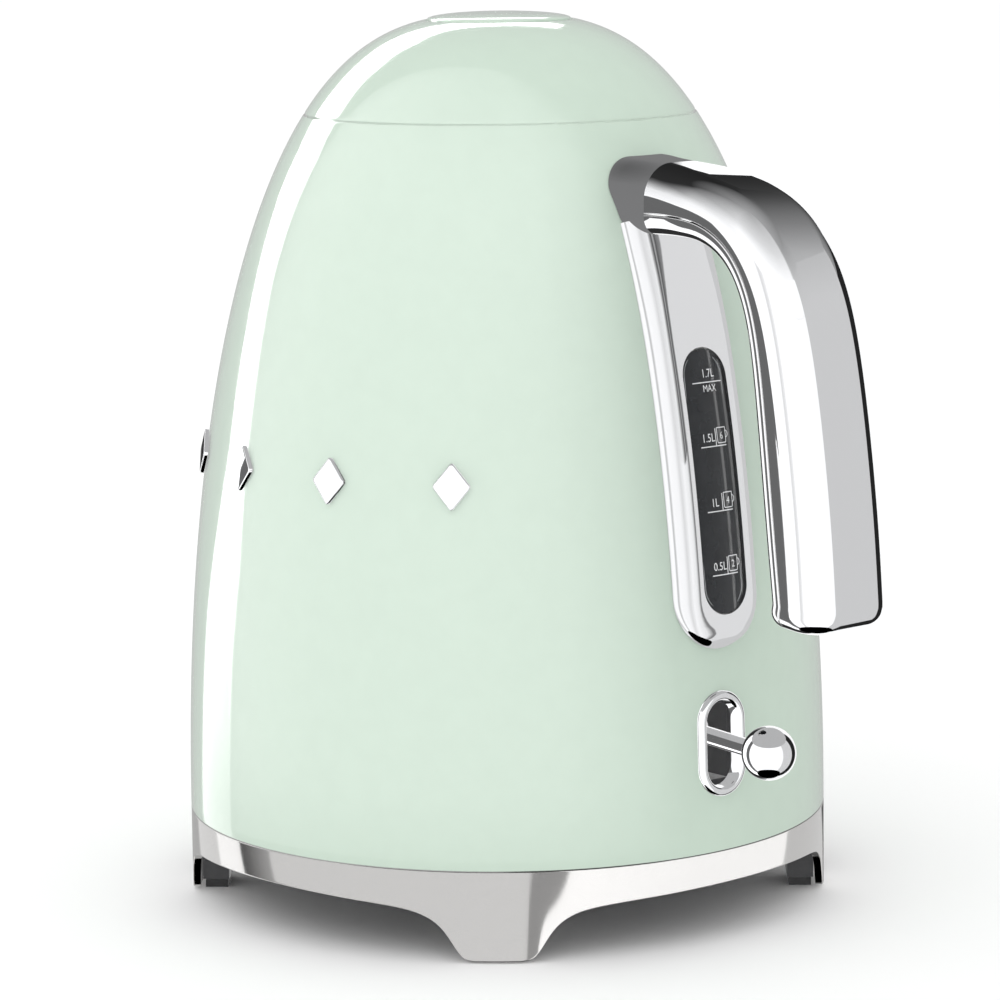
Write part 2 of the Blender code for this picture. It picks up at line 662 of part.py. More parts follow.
def make_switch():
    """The frame round the lever's slot, the cup behind it, the lever's pivot pin, the lever and its ball."""
    low, high, wide = SLOT_BOTTOM / MM, SLOT_TOP / MM, SLOT_HALF_WIDTH / MM
    plate = rounded_plate(88, 92.6, wide + 2.45, low - 2.7, high + 2.9, wide + 2.45)
    frame = add("switch_frame", plate, "chrome")
    cut(frame, add("frame_room", dome_room(90 * MM, 8), None))
    cut(frame, add("frame_slot", rounded_plate(80, 99, wide, low, high, wide), None))
    cup = add("switch_housing", box((68, -6.5, 42.8), (86.9, 6.5, 66.8)), "black_plastic")
    cut(cup, add("cup_hollow", box((70, -4.6, 44.4), (99, 4.6, 65.2)), None))
    side = Vector((0, 6.2, 0)) * MM
    cut(cup, add("pivot_bore", rod(SWITCH_PIVOT - side * 2, SWITCH_PIVOT + side * 2, PIN_HOLE), None))
    add("switch_pivot_pin", rod(SWITCH_PIVOT - side, SWITCH_PIVOT + side, PIN_RADIUS), "steel", SWITCH_PIVOT)
    end = KNOB_CENTRE - Vector((KNOB_RADIUS - 1.6 * MM, 0, 0))
    arm = add("lever_arm", rod(SWITCH_PIVOT, end, 2.4 * MM, 16), "chrome", SWITCH_PIVOT)
    width = Vector((0, 4.0, 0)) * MM
    join(arm, add("lever_hub", rod(SWITCH_PIVOT - width, SWITCH_PIVOT + width, 4.2 * MM), None))
    cut(arm, add("lever_bore", rod(SWITCH_PIVOT - side, SWITCH_PIVOT + side, PIN_HOLE), None))
    ball = [(KNOB_RADIUS * sin(radians(a)), KNOB_RADIUS * cos(radians(a))) for a in range(0, 181, 18)]
    ball[0], ball[-1] = (0, ball[0][1]), (0, ball[-1][1])
    mesh = turned(ball, SMALL)
    bmesh.ops.translate(mesh, verts=mesh.verts, vec=KNOB_CENTRE)
    knob = add("lever_knob", mesh, "chrome", SWITCH_PIVOT)
    cut(knob, add("knob_socket", rod(SWITCH_PIVOT, end + Vector((GAP, 0, 0)), 2.75 * MM, 16), None))


def make_badges():
    """Four plain lozenges on one flank stand where a name would be."""
    half_width, half_height, nick = 5.2, 6.5, 0.7
    corners = []
    for x, z in ((half_width, 0), (0, half_height), (-half_width, 0), (0, -half_height)):
        side = Vector((-z / half_height, x / half_width))
        corners += [(x * (1 - nick / 8) - side.x * nick, z * (1 - nick / 8) - side.y * nick),
                    (x * (1 - nick / 8) + side.x * nick, z * (1 - nick / 8) + side.y * nick)]
    tilt = atan2(dome_radius(121 * MM) - dome_radius(134 * MM), 13 * MM)
    for number, angle in enumerate(BADGE_ANGLES, 1):
        mesh = lofted([[Vector((x, y, z)) * MM for y, z in corners] for x in (-0.6, 0.6)])
        bmesh.ops.rotate(mesh, cent=(0, 0, 0), matrix=Matrix.Rotation(-tilt, 3, "Y"), verts=mesh.verts)
        middle = Vector((dome_radius(BADGE_HEIGHT) + GAP + 0.8 * MM, 0, BADGE_HEIGHT))
        bmesh.ops.translate(mesh, verts=mesh.verts, vec=middle)
        lozenge = add(f"badge_{number}", mesh, "chrome")
        lozenge.rotation_euler.z = radians(angle)


# The lid, its push button and its latch.

def make_lid_dome():
    """The painted cap: it continues the dome, with a skirt in the mouth and a hole for the button."""
    hole = BUTTON_RADIUS + GAP
    edge_height = dome_height(SKIRT_RADIUS + 0.5 * MM) + 0.3 * MM
    outside = [(SKIRT_RADIUS, edge_height - 0.4 * MM)] + dome_curve(edge_height, dome_height(hole), 7)
    inside = dome_curve(edge_height + 1.1 * MM, dome_height(hole + 0.9 * MM), 5, SHELL_WALL)
    inner_skirt = SKIRT_RADIUS - SHELL_WALL
    skirt = [(inner_skirt, inside[0][1] - 1 * MM), (inner_skirt, SKIRT_BOTTOM), (SKIRT_RADIUS, SKIRT_BOTTOM)]
    outline = outside + [(hole, outside[-1][1] - SHELL_WALL)] + inside[::-1] + skirt
    add("lid_dome", turned(outline, ROUND), "mint_paint", LID_HINGE)


def make_lid_plate():
    """The lid's inner plate, notched for the bracket and bored for the button's stem."""
    outline = ((5.8, 215), (52.4, 215), (52.4, 219.6), (51, 219.6), (51, 216.6), (16, 216.6), (16, 219),
               (5.8, 219))
    plate = add("lid_plate", turned([(r * MM, z * MM) for r, z in outline]), "grey_plastic", LID_HINGE)
    cut(plate, add("plate_notch", bracket_notch(), None, LID_HINGE))


def bracket_notch():
    return box((33, -3.6, 205), (60, 3.6, 230))


def make_lid_arms():
    """Two lugs that stand on the inner plate and clip round the hinge pin, one each side of the bracket."""
    centre = (LID_HINGE.x / MM, LID_HINGE.z / MM)
    outline = arc(centre, 3.4, 120, 200, 4) + [(centre[0] - 4.2, 217), (centre[0] + 4.2, 217)]
    outline += arc(centre, 3.4, -20, 60, 4) + arc(centre, PIN_HOLE / MM, 60, -240, 12)
    for number, side in enumerate((-1, 1), 1):
        mesh = plate_xz(outline, 1.5 * MM)
        bmesh.ops.translate(mesh, verts=mesh.verts, vec=(0, side * 5.4 * MM, 0))
        add(f"lid_arm_{number}", mesh, "grey_plastic", LID_HINGE)


def make_lid_seal():
    outline = ((52.75, 214.95), (54.2, 214.95), (54.2, 216.4), (52.75, 216.4))
    seal = add("lid_seal", turned([(r * MM, z * MM) for r, z in outline], ROUND), "silicone", LID_HINGE)
    cut(seal, add("seal_notch", bracket_notch(), None, LID_HINGE))


def make_button():
    """The push button in the lid's crown, its guide sleeve and the spring that lifts it."""
    edge = dome_height(BUTTON_RADIUS)
    crown = [(BUTTON_RADIUS * cos(radians(a)), edge + (TOTAL_HEIGHT - edge) * sin(radians(a)))
             for a in (0, 30, 50, 70)] + [(0, TOTAL_HEIGHT)]
    wide, stem = BUTTON_RADIUS, 5 * MM
    inner, roof, hem = wide - 1.5 * MM, edge - 3.2 * MM, edge - 8 * MM
    under = [(0, 213 * MM), (3.4 * MM, 213 * MM), (stem, 216 * MM), (stem, roof), (inner, roof), (inner, hem),
             (wide, hem)]
    add("lid_button", turned(under + crown), "mint_paint", (0, 0, edge))
    sleeve = ((6.2, 219.4), (12, 219.4), (12, 221), (7.6, 221), (7.6, 232), (6.2, 232))
    add("button_guide", turned([(r * MM, z * MM) for r, z in sleeve]), "grey_plastic", LID_HINGE)
    add("button_spring", coil(9.6 * MM, 0.5 * MM, 221.8 * MM, edge - 4.2 * MM, 4), "steel", LID_HINGE)


def coil(radius, wire, low, high, turns):
    """A compression spring with open ends."""
    sections = []
    steps = turns * 12
    for step in range(steps + 1):
        angle = 2 * pi * turns * step / steps
        centre = Vector((radius * cos(angle), radius * sin(angle), low + (high - low) * step / steps))
        outward = Vector((cos(angle), sin(angle), 0))
        sections.append([centre + (outward * cos(a) + Vector((0, 0, sin(a)))) * wire
                         for a in (2 * pi * side / 5 for side in range(5))])
    return lofted(sections)


def make_latch():
    """A flat bar that slides under the inner plate. Its nose points into the neck ring's window."""
    add("lid_latch", box((-54.3, -4.8, 213), (-8.8, 4.8, 214.6)), "steel", LID_HINGE)


def main():
    clear_scene()
    axis = bpy.data.objects.new("kettle_axis", None)
    bpy.context.scene.collection.objects.link(axis)
    axis.location = (AXIS_X, 0, 0)
    for make in (
        make_base_ring, make_base_deck, make_base_floor, make_foot_pads, make_base_screws,
        make_base_connector, make_contact_pin, make_cord_gland, make_outer_shell, make_bottom_cover,
        make_cover_screws, make_kettle_connector, make_thermostat, make_heater, make_neck_ring,
        make_hinge_bracket, make_hinge_pin, make_spout, make_spout_filter, make_handle,
        make_handle_screws, make_gauge_trim, make_gauge, make_switch, make_badges, make_lid_dome,
        make_lid_plate, make_lid_arms, make_lid_seal, make_button, make_latch,
    ):
        make()


main()
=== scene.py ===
"""Looks for the domed cordless kettle: fine meshes, finishes, floor, lights and camera. Metres, +Z up.

Every shape here is worked out in the kettle's own frame, whose upright axis passes through (0, 0),
and is then set over by AXIS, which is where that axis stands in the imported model.
"""

import json
from math import asin, atan2, cos, exp, pi, radians, sin, sqrt

import bmesh
import bpy
from mathutils import Matrix, Vector


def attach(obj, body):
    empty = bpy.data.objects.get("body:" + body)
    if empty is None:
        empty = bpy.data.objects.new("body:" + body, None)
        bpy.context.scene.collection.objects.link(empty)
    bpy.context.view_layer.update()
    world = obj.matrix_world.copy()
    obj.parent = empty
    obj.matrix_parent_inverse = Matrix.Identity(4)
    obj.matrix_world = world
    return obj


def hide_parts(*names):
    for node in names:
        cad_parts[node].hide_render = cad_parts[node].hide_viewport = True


MM = 0.001
AXIS = Vector((-25.65, 0, 0)) * MM

# The dome that body and lid share: a superellipse turned about the axis.
BODY_RADIUS = 90.1 * MM
BODY_BOTTOM = 25.4 * MM
DOME_HEIGHT = 222.06 * MM
DOME_RISE, DOME_ROUND = 2.08, 2.87
TOTAL_HEIGHT = 248.0 * MM
SHELL_WALL = 1.2 * MM
GAP = 0.35 * MM

SEAM_HEIGHT, ROLL_HEIGHT = 220.0 * MM, 217.3 * MM
MOUTH_RADIUS = 54.6 * MM
SKIRT_RADIUS, SKIRT_BOTTOM = 54.2 * MM, 216.8 * MM
BUTTON_RADIUS = 20.0 * MM

RING_TOP = BODY_BOTTOM - 0.45 * MM
RING_WALL, RING_LIP = 2.2 * MM, 7 * MM
FOOT_BOTTOM, FOOT_HALF_ANGLE, FIRST_FOOT, FOOT_SPACING = 0.6 * MM, 6.5, 48.2, 90
ARCH_RISE, ARCH_TURN, ARCH_SWELL = 13.05 * MM, 2.9, 2.6 * MM
SEAM_EASE = 0.35 * MM  # the rounding of the two edges that meet over the ring

HANDLE_HALF_WIDTH = 15.2 * MM
HANDLE_OUTER = ((56, 211.4), (88.7, 209), (107, 203.7), (119, 195), (128.4, 180), (134.6, 155.8),
                (139.4, 122), (141.4, 97.5))
HANDLE_INNER = ((56, 190.2), (85.5, 192), (98.5, 189.8), (107.4, 183.2), (113.1, 171), (116.2, 151.8),
                (119.6, 122), (122.4, 99.5))
HANDLE_LINING = 5.5 * MM
HANDLE_TAPER, TAPER_START, TAPER_REACH = 2.0 * MM, 90 * MM, 20 * MM
HANDLE_FLARE, FLARE_START, FLARE_REACH = 1.8 * MM, 72 * MM, 10 * MM
HANDLE_TIP, TIP_TURN, TIP_DIRECTION = 6.4 * MM, 4.8 * MM, Vector((-0.2, -1.0))
HANDLE_ROUND, LINING_ROUND = 9.6 * MM, 5.2 * MM  # the corners of the outer and the inner side

TRIM_HALF_WIDTH, RIDGE_HALF_WIDTH = 14.3 * MM, 9.5 * MM
RIDGE, RIDGE_START, TRIM_EDGE = 4.5 * MM, 0.8 * MM, 0.7 * MM  # how proud of the dome each stands
FADE_START, FADE_REACH = 158 * MM, 30 * MM  # the heights over which the ridge's flat top narrows
TRIM_BOTTOM, TRIM_TOP = 80.6 * MM, 194.0 * MM
WINDOW_HALF_WIDTH, WINDOW_CUT = 7.7 * MM, 12 * MM
WINDOW_BOTTOM, WINDOW_TOP = 89.9 * MM, 160.2 * MM
GLASS_PROUD, GLASS_CROWN, GLASS_BACK = 3.4 * MM, 0.7 * MM, -2.2 * MM
RAIL_INSET, RAIL_WIDTH, RAIL_SUNK, RAIL_PROUD = 0.65 * MM, 0.3 * MM, 0.05 * MM, 0.5 * MM
COLLAR_END = 74.6 * MM  # where the handle's plain root ends, as a distance from the axis

SLOT_HALF_WIDTH, SLOT_BOTTOM, SLOT_TOP = 5.8 * MM, 42.9 * MM, 66.6 * MM
SWITCH_PIVOT = Vector((76, 0, 56.5)) * MM
KNOB_CENTRE, KNOB_RADIUS, KNOB_SOCKET = Vector((108.1, 0, 55.0)) * MM, 7.3 * MM, 1.6 * MM
ARM_RADIUS, HUB_RADIUS, HUB_HALF_WIDTH, PIN_HOLE_RADIUS = 2.4 * MM, 4.2 * MM, 4.0 * MM, 1.6 * MM

BADGE_ANGLES, BADGE_HEIGHT = (-49.4, -73.4, -97.2, -121.1), 127.5 * MM
BADGE_HALF_WIDTH, BADGE_HALF_HEIGHT, BADGE_ROUND = 5.2 * MM, 6.5 * MM, 0.9 * MM

# The spout, in millimetres. From its root to its lip it narrows and rises.
SPOUT_START, SPOUT_LENGTH, SPOUT_WALL = 57.5, 24.5, 1.3
SPOUT_ROOT, SPOUT_REACH = 58, 24
SPOUT_BOTTOM, SPOUT_TOP, SPOUT_HALF_WIDTH = 180, 205.5, 15.5
SPOUT_CLIMB, SPOUT_TOP_CLIMB, SPOUT_TAPER = 21.5, 2.2, 11.5

# The camera looks at the axis from between the handle and the front flank.
VIEW_ANGLE = -40.0  # degrees round the axis from the handle
CAMERA_DISTANCE, CAMERA_HEIGHT = 1.174, 0.298
CAMERA_PITCH, CAMERA_ROLL = 9.07, 0.64
CAMERA_LENS, CAMERA_SENSOR, CAMERA_SHIFT, CAMERA_FAR = 151.4, 36, -0.0042, 200
FLOOR_REACH, PANEL_REACH = 40, 5.0
SKY_STRENGTH = 1.085
KEY_PLACE, KEY_REACH, KEY_POWER, KEY_SIZE = (25, 45), 4, 22, (3.0, 2.4)
ALL_ROUND = (-180, -90, 0, 90, 180)


# Outlines.

def dome_radius(height):
    """The dome's radius at a height."""
    rise = max(height - BODY_BOTTOM, 0) / DOME_HEIGHT
    return BODY_RADIUS * (1 - rise**DOME_RISE) ** (1 / DOME_ROUND)


def dome_height(radius):
    """The height at which the dome has a radius."""
    return BODY_BOTTOM + DOME_HEIGHT * (1 - (radius / BODY_RADIUS) ** DOME_ROUND) ** (1 / DOME_RISE)


def dome_slope(height):
    """The unit tangent, pointing up the dome, as (radius, height)."""
    step = 0.05 * MM
    low, high = max(height - step, BODY_BOTTOM), height + step
    return Vector((dome_radius(high) - dome_radius(low), high - low)).normalized()


def dome_point(height, inset=0.0):
    """(radius, height) at a distance under the dome's surface."""
    tangent = dome_slope(height)
    return Vector((dome_radius(height) - inset * tangent.y, height + inset * tangent.x))


def dome_curve(low, high, steps, inset=0.0):
    """Points up the dome between two heights, closer together where it curves more."""
    turn = [asin(((z - BODY_BOTTOM) / DOME_HEIGHT) ** (DOME_RISE / 2)) for z in (low, high)]
    spots = [turn[0] + (turn[1] - turn[0]) * step / steps for step in range(steps + 1)]
    return [dome_point(BODY_BOTTOM + DOME_HEIGHT * sin(t) ** (2 / DOME_RISE), inset) for t in spots]


def held(value):
    """A value held between 0 and 1."""
    return min(max(value, 0), 1)


def on_front(height, across, proud):
    """A point over the dome at the handle's side, a distance proud of it and off to one side."""
    radius, level = dome_point(height, -proud)
    fall = dome_radius(height) - sqrt(dome_radius(height) ** 2 - across**2)
    return Vector((radius - fall, across, level))


def bend(start, corner, end, steps=8):
    """A smooth turn from start to end, tangent to the lines that meet at the corner."""
    start, corner, end = Vector(start), Vector(corner), Vector(end)
    spots = [step / steps for step in range(steps + 1)]
    return [start * (1 - t) ** 2 + corner * 2 * t * (1 - t) + end * t**2 for t in spots]


def rounded(outline, radius, steps=4):
    """A closed outline with each corner turned over that distance, or less where its sides are short."""
    outline = [Vector(point) for point in outline]
    turned_corners = []
    for before, corner, after in zip(outline[-1:] + outline[:-1], outline, outline[1:] + outline[:1]):
        back, forth = before - corner, after - corner
        reach = [min(radius, side.length * 0.45) for side in (back, forth)]
        turned_corners += bend(corner + back.normalized() * reach[0], corner,
                               corner + forth.normalized() * reach[1], steps)
    return turned_corners


def spline(points, steps):
    """A smooth curve through points, as a Catmull-Rom spline."""
    points = [Vector(point) for point in points]
    ends = [points[0] * 2 - points[1]] + points + [points[-1] * 2 - points[-2]]
    curve = []
    for a, b, c, d in zip(ends, ends[1:], ends[2:], ends[3:]):
        for step in range(steps):
            t = step / steps
            curve.append(0.5 * (2 * b + (c - a) * t + (2 * a - 5 * b + 4 * c - d) * t**2
                                + (3 * b - a - 3 * c + d) * t**3))
    return curve + [points[-1]]


def eased(points, rounds):
    """A curve with its ripples smoothed out. The ends stay."""
    for _ in range(rounds):
        inner = [(a + 2 * b + c) / 4 for a, b, c in zip(points, points[1:], points[2:])]
        points = [points[0]] + inner + [points[-1]]
    return points


def stadium_half_width(height, half_width, bottom, top=None):
    """Half the width of an upright strip at a height. Its bottom is round, and so is its top, if given."""
    below = bottom + half_width - height
    above = height - (top - half_width) if top else 0
    reach = max(below, above, 0)
    return sqrt(max(half_width**2 - reach**2, 0))


def stadium(half_width, low, high, steps=16):
    """The closed outline of an upright strip with round ends, as (across, height)."""
    turns = [pi * step / steps for step in range(steps + 1)]
    top = [Vector((half_width * cos(t), high - half_width + half_width * sin(t))) for t in turns]
    bottom = [Vector((-half_width * cos(t), low + half_width - half_width * sin(t))) for t in turns]
    return top + bottom


# Meshes. Each maker returns a bmesh in the kettle's own frame.

def turned(outline, sides=256):
    """Turn a closed outline of (radius, height) points about Z. A radius of 0 closes the shape there."""
    mesh = bmesh.new()
    rings = []
    for radius, height in outline:
        if radius < 1e-7:
            rings.append([mesh.verts.new((0, 0, height))])
            continue
        turns = [2 * pi * side / sides for side in range(sides)]
        rings.append([mesh.verts.new((radius * cos(t), radius * sin(t), height)) for t in turns])
    ends_on_axis = len(rings[0]) == 1 and len(rings[-1]) == 1
    pairs = list(zip(rings, rings[1:])) + ([] if ends_on_axis else [(rings[-1], rings[0])])
    for low, high in pairs:
        for side in range(sides):
            after = (side + 1) % sides
            if len(low) == 1:
                mesh.faces.new((low[0], high[side], high[after]))
            elif len(high) == 1:
                mesh.faces.new((low[side], low[after], high[0]))
            else:
                mesh.faces.new((low[side], low[after], high[after], high[side]))
    return mesh


def lofted(sections, closed=False):
    """Skin a row of closed sections with equally many points."""
    mesh = bmesh.new()
    rings = [[mesh.verts.new(point) for point in section] for section in sections]
    count = len(rings[0])
    for low, high in list(zip(rings, rings[1:])) + ([(rings[-1], rings[0])] if closed else []):
        for side in range(count):
            after = (side + 1) % count
            mesh.faces.new((low[side], low[after], high[after], high[side]))
    if not closed:
        mesh.faces.new(rings[0][::-1])
        mesh.faces.new(rings[-1])
    return mesh


def rod(start, end, radius, sides=48):
    """A round bar between two points."""
    start, end = Vector(start), Vector(end)
    turn = (end - start).to_track_quat("Z", "X").to_matrix()
    circle = [Vector((cos(a), sin(a), 0)) * radius for a in (2 * pi * s / sides for s in range(sides))]
    return lofted([[centre + turn @ point for point in circle] for centre in (start, end)])


# Objects.

def thing_of(name, mesh, smooth=35):
    """Make the bmesh an object, set over to where the kettle's axis stands."""
    bmesh.ops.translate(mesh, verts=mesh.verts, vec=AXIS)
    bmesh.ops.recalc_face_normals(mesh, faces=mesh.faces)
    data = bpy.data.meshes.new(name)
    mesh.to_mesh(data)
    mesh.free()
    data.shade_smooth()
    data.set_sharp_from_angle(angle=radians(smooth))
    thing = bpy.data.objects.new(name, data)
    bpy.context.scene.collection.objects.link(thing)
    return thing


def piece(name, mesh, body, slot, nodes, smooth=35, look=None):
    """A fine piece that stands for CAD nodes, rides on a body and takes a finish."""
    thing = thing_of(name, mesh, smooth)
    thing.data.materials.append(FINISHES[look or slot])
    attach(thing, body)
    if nodes:
        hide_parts(*nodes)
    return thing


def cut(thing, mesh, operation="DIFFERENCE", smooth=35):
    """Cut or join a mesh at once, so that no helper is left."""
    other = thing_of("cutter", mesh)
    step = thing.modifiers.new("cut", "BOOLEAN")
    step.operation, step.object, step.solver = operation, other, "EXACT"
    graph = bpy.context.evaluated_depsgraph_get()
    result = bpy.data.meshes.new_from_object(thing.evaluated_get(graph))
    thing.modifiers.remove(step)
    thing.data = result
    thing.data.shade_smooth()
    thing.data.set_sharp_from_angle(angle=radians(smooth))
    bpy.data.objects.remove(other, do_unlink=True)
    return thing


# Finishes. Each is a Principled material whose colour, roughness and relief come from its own nodes.

def finish(name, colour, roughness, scale, metallic=0.0, coat=0.0, uneven=0.0, relief=0.0, mottle=0.0):
    """A material with fine noise, in the object's own space, that varies its roughness, colour and relief."""
    made = bpy.data.materials.new(name + "_finish")
    made.use_nodes = True
    nodes, links = made.node_tree.nodes, made.node_tree.links
    shader = nodes["Principled BSDF"]
    shader.inputs["Base Color"].default_value = (*colour, 1)
    shader.inputs["Roughness"].default_value = roughness
    shader.inputs["Metallic"].default_value = metallic
    shader.inputs["Coat Weight"].default_value = coat
    shader.inputs["Coat Roughness"].default_value = 0.03
    place = nodes.new("ShaderNodeTexCoord")
    noise = nodes.new("ShaderNodeTexNoise")
    noise.inputs["Scale"].default_value = scale
    noise.inputs["Detail"].default_value = 4
    links.new(place.outputs["Object"], noise.inputs["Vector"])
    if uneven:
        spread = nodes.new("ShaderNodeMapRange")
        spread.inputs["From Min"].default_value = 0.3
        spread.inputs["From Max"].default_value = 0.7
        spread.inputs["To Min"].default_value = max(roughness - uneven, 0)
        spread.inputs["To Max"].default_value = roughness + uneven
        links.new(noise.outputs["Fac"], spread.inputs["Value"])
        links.new(spread.outputs["Result"], shader.inputs["Roughness"])
    if mottle:
        ramp = nodes.new("ShaderNodeValToRGB")
        for stop, share, spot in zip(ramp.color_ramp.elements, (1 - mottle, 1 + mottle), (0.35, 0.65)):
            stop.position = spot
            stop.color = (*(min(channel * share, 1) for channel in colour), 1)
        links.new(noise.outputs["Fac"], ramp.inputs["Fac"])
        links.new(ramp.outputs["Color"], shader.inputs["Base Color"])
    if relief:
        bump = nodes.new("ShaderNodeBump")
        bump.inputs["Strength"].default_value = relief
        bump.inputs["Distance"].default_value = 0.1 * MM
        links.new(noise.outputs["Fac"], bump.inputs["Height"])
        links.new(bump.outputs["Normal"], shader.inputs["Normal"])
    return made


def make_finishes():
    """One finish for each slot of the record, and two more that fine pieces need.

    Each row is a base colour, a roughness, the scale of the noise and what else the finish has.
    """
    looks = {
        "mint_paint": ((0.54, 0.653, 0.557), 0.10, 160, {"coat": 0.6, "mottle": 0.008}),
        "chrome": ((0.88, 0.885, 0.90), 0.025, 300, {"metallic": 1.0, "uneven": 0.006}),
        "steel": ((0.70, 0.69, 0.68), 0.08, 2600, {"metallic": 1.0, "uneven": 0.02, "mottle": 0.015}),
        "brass": ((0.72, 0.52, 0.22), 0.24, 800, {"metallic": 1.0, "uneven": 0.05, "mottle": 0.05}),
        "black_plastic": ((0.016, 0.016, 0.018), 0.38, 1500, {"uneven": 0.06, "relief": 0.25, "mottle": 0.1}),
        "grey_plastic": ((0.13, 0.13, 0.14), 0.36, 1300, {"uneven": 0.05, "relief": 0.2, "mottle": 0.06}),
        "smoked_plastic": ((0.022, 0.024, 0.027), 0.05, 220, {"coat": 0.5, "mottle": 0.1}),
        "silicone": ((0.70, 0.71, 0.70), 0.55, 900, {"uneven": 0.05, "relief": 0.1, "mottle": 0.03}),
        "rubber": ((0.022, 0.022, 0.023), 0.75, 1800, {"uneven": 0.08, "relief": 0.4, "mottle": 0.15}),
        # A light grey for the window's rail: a painted highlight along the window's inner edge, where the
        # plastic itself is dark smoked.
        "window_edge": ((0.30, 0.31, 0.32), 0.2, 900, {"mottle": 0.05}),
        "white_print": ((0.82, 0.83, 0.84), 0.45, 2000, {"mottle": 0.03}),
    }
    return {name: finish(name, *look, **more) for name, (*look, more) in looks.items()}


# Studio.

def direction(left, up):
    """The unit vector at an angle left of the camera's side and an angle above the horizon, in degrees."""
    turn = radians(VIEW_ANGLE - left)
    return Vector((cos(turn) * cos(radians(up)), sin(turn) * cos(radians(up)), sin(radians(up))))


def make_camera():
    """A long lens that looks slightly down at the kettle."""
    data = bpy.data.cameras.new("camera")
    data.lens, data.sensor_width = CAMERA_LENS, CAMERA_SENSOR
    data.shift_x, data.clip_end = CAMERA_SHIFT, CAMERA_FAR
    camera = bpy.data.objects.new("camera", data)
    bpy.context.scene.collection.objects.link(camera)
    camera.location = AXIS + direction(0, 0) * CAMERA_DISTANCE + Vector((0, 0, CAMERA_HEIGHT))
    aim = (-direction(0, CAMERA_PITCH)).to_track_quat("-Z", "Y").to_matrix().to_4x4()
    roll = Matrix.Rotation(radians(-CAMERA_ROLL), 4, "Z")
    camera.rotation_euler = (aim @ roll).to_euler()
    bpy.context.scene.camera = camera


def make_floor():
    """A wide white floor that nothing mirrors."""
    mesh = bmesh.new()
    bmesh.ops.create_grid(mesh, x_segments=1, y_segments=1, size=FLOOR_REACH)
    floor = thing_of("floor", mesh)
    made = finish("floor", (0.93, 0.93, 0.93), 0.9, 3, mottle=0.003)
    made.node_tree.nodes["Principled BSDF"].inputs["Specular IOR Level"].default_value = 0
    floor.data.materials.append(made)
    floor.visible_glossy = False


def glow():
    """The panels' light, which adds to what is behind it. Each point of a panel gives its own strength."""
    made = bpy.data.materials.new("panel_glow")
    made.use_nodes = True
    nodes, links = made.node_tree.nodes, made.node_tree.links
    nodes.clear()
    share = nodes.new("ShaderNodeAttribute")
    share.attribute_name = "brightness"
    light, clear = nodes.new("ShaderNodeEmission"), nodes.new("ShaderNodeBsdfTransparent")
    both, out = nodes.new("ShaderNodeAddShader"), nodes.new("ShaderNodeOutputMaterial")
    links.new(share.outputs["Fac"], light.inputs["Strength"])
    links.new(light.outputs["Emission"], both.inputs[0])
    links.new(clear.outputs["BSDF"], both.inputs[1])
    links.new(both.outputs["Shader"], out.inputs["Surface"])
    made.cycles.emission_sampling = "NONE"
    return made


def panel(name, seen_by, rungs, steps=12):
    """A curved panel far round the kettle, seen only in the reflections of one group of objects.

    A rung is its two ends, each (left, up) in degrees, and its brightness, one number for both or a pair.
    """
    mesh = bmesh.new()
    strength = mesh.verts.layers.float.new("brightness")
    spans = [Vector((*near, *far, *(bright if isinstance(bright, tuple) else (bright, bright))))
             for near, far, bright in rungs]
    filled = [a.lerp(b, step / steps) for a, b in zip(spans, spans[1:]) for step in range(steps)] + spans[-1:]
    rows = []
    for near_left, near_up, far_left, far_up, near_bright, far_bright in filled:
        row = []
        for t in (side / steps for side in range(steps + 1)):
            place = direction(near_left + (far_left - near_left) * t, near_up + (far_up - near_up) * t)
            row.append(mesh.verts.new(place * PANEL_REACH))
            row[-1][strength] = near_bright + (far_bright - near_bright) * t
        rows.append(row)
    for low, high in zip(rows, rows[1:]):
        for side in range(steps):
            mesh.faces.new((low[side], low[side + 1], high[side + 1], high[side]))
    thing = thing_of(name, mesh)
    thing.data.materials.append(bpy.data.materials.get("panel_glow") or glow())
    thing.visible_camera = thing.visible_diffuse = thing.visible_shadow = False
    thing.visible_transmission = thing.visible_volume_scatter = False
    thing.light_linking.receiver_collection = seen_by


def upright(low, high, stops):
    """Rungs that stand up between two levels, from (left, brightness) stops."""
    return [((left, low), (left, high), bright) for left, bright in stops]


def receivers(name, things):
    """A group of objects that a panel may shine on."""
    group = bpy.data.collections.new(name)
    for thing in things:
        group.objects.link(thing)
    return group


def group_of(name):
    """The set of panels that a piece mirrors."""
    if name.endswith("_paint"):
        return "painted"
    return {"base_band": "ring", "gauge_surround": "trim", "gauge_glass": "glass", "handle_collar": "collar",
            "handle_outer": "handle", "handle_inner": "handle"}.get(name, "polished")


def make_panels():
    """The studio as it is mirrored. Each group of pieces has its own set of panels.

    Of the pieces, only the dark window and its seal are mirrored, in the walls of the trim round them.
    """
    meshes = [thing for thing in bpy.context.scene.objects if thing.type == "MESH" and thing.name != "floor"]
    for thing in meshes:
        thing.visible_glossy = thing.name in ("gauge_glass", "gauge_seal")
    makers = {"painted": make_paint_panels, "ring": make_ring_panels, "handle": make_handle_panels,
              "collar": make_collar_panels, "trim": make_trim_panels, "glass": make_glass_panels,
              "polished": make_other_panels}
    for name, make in makers.items():
        make(receivers(name, [thing for thing in meshes if group_of(thing.name) == name]))


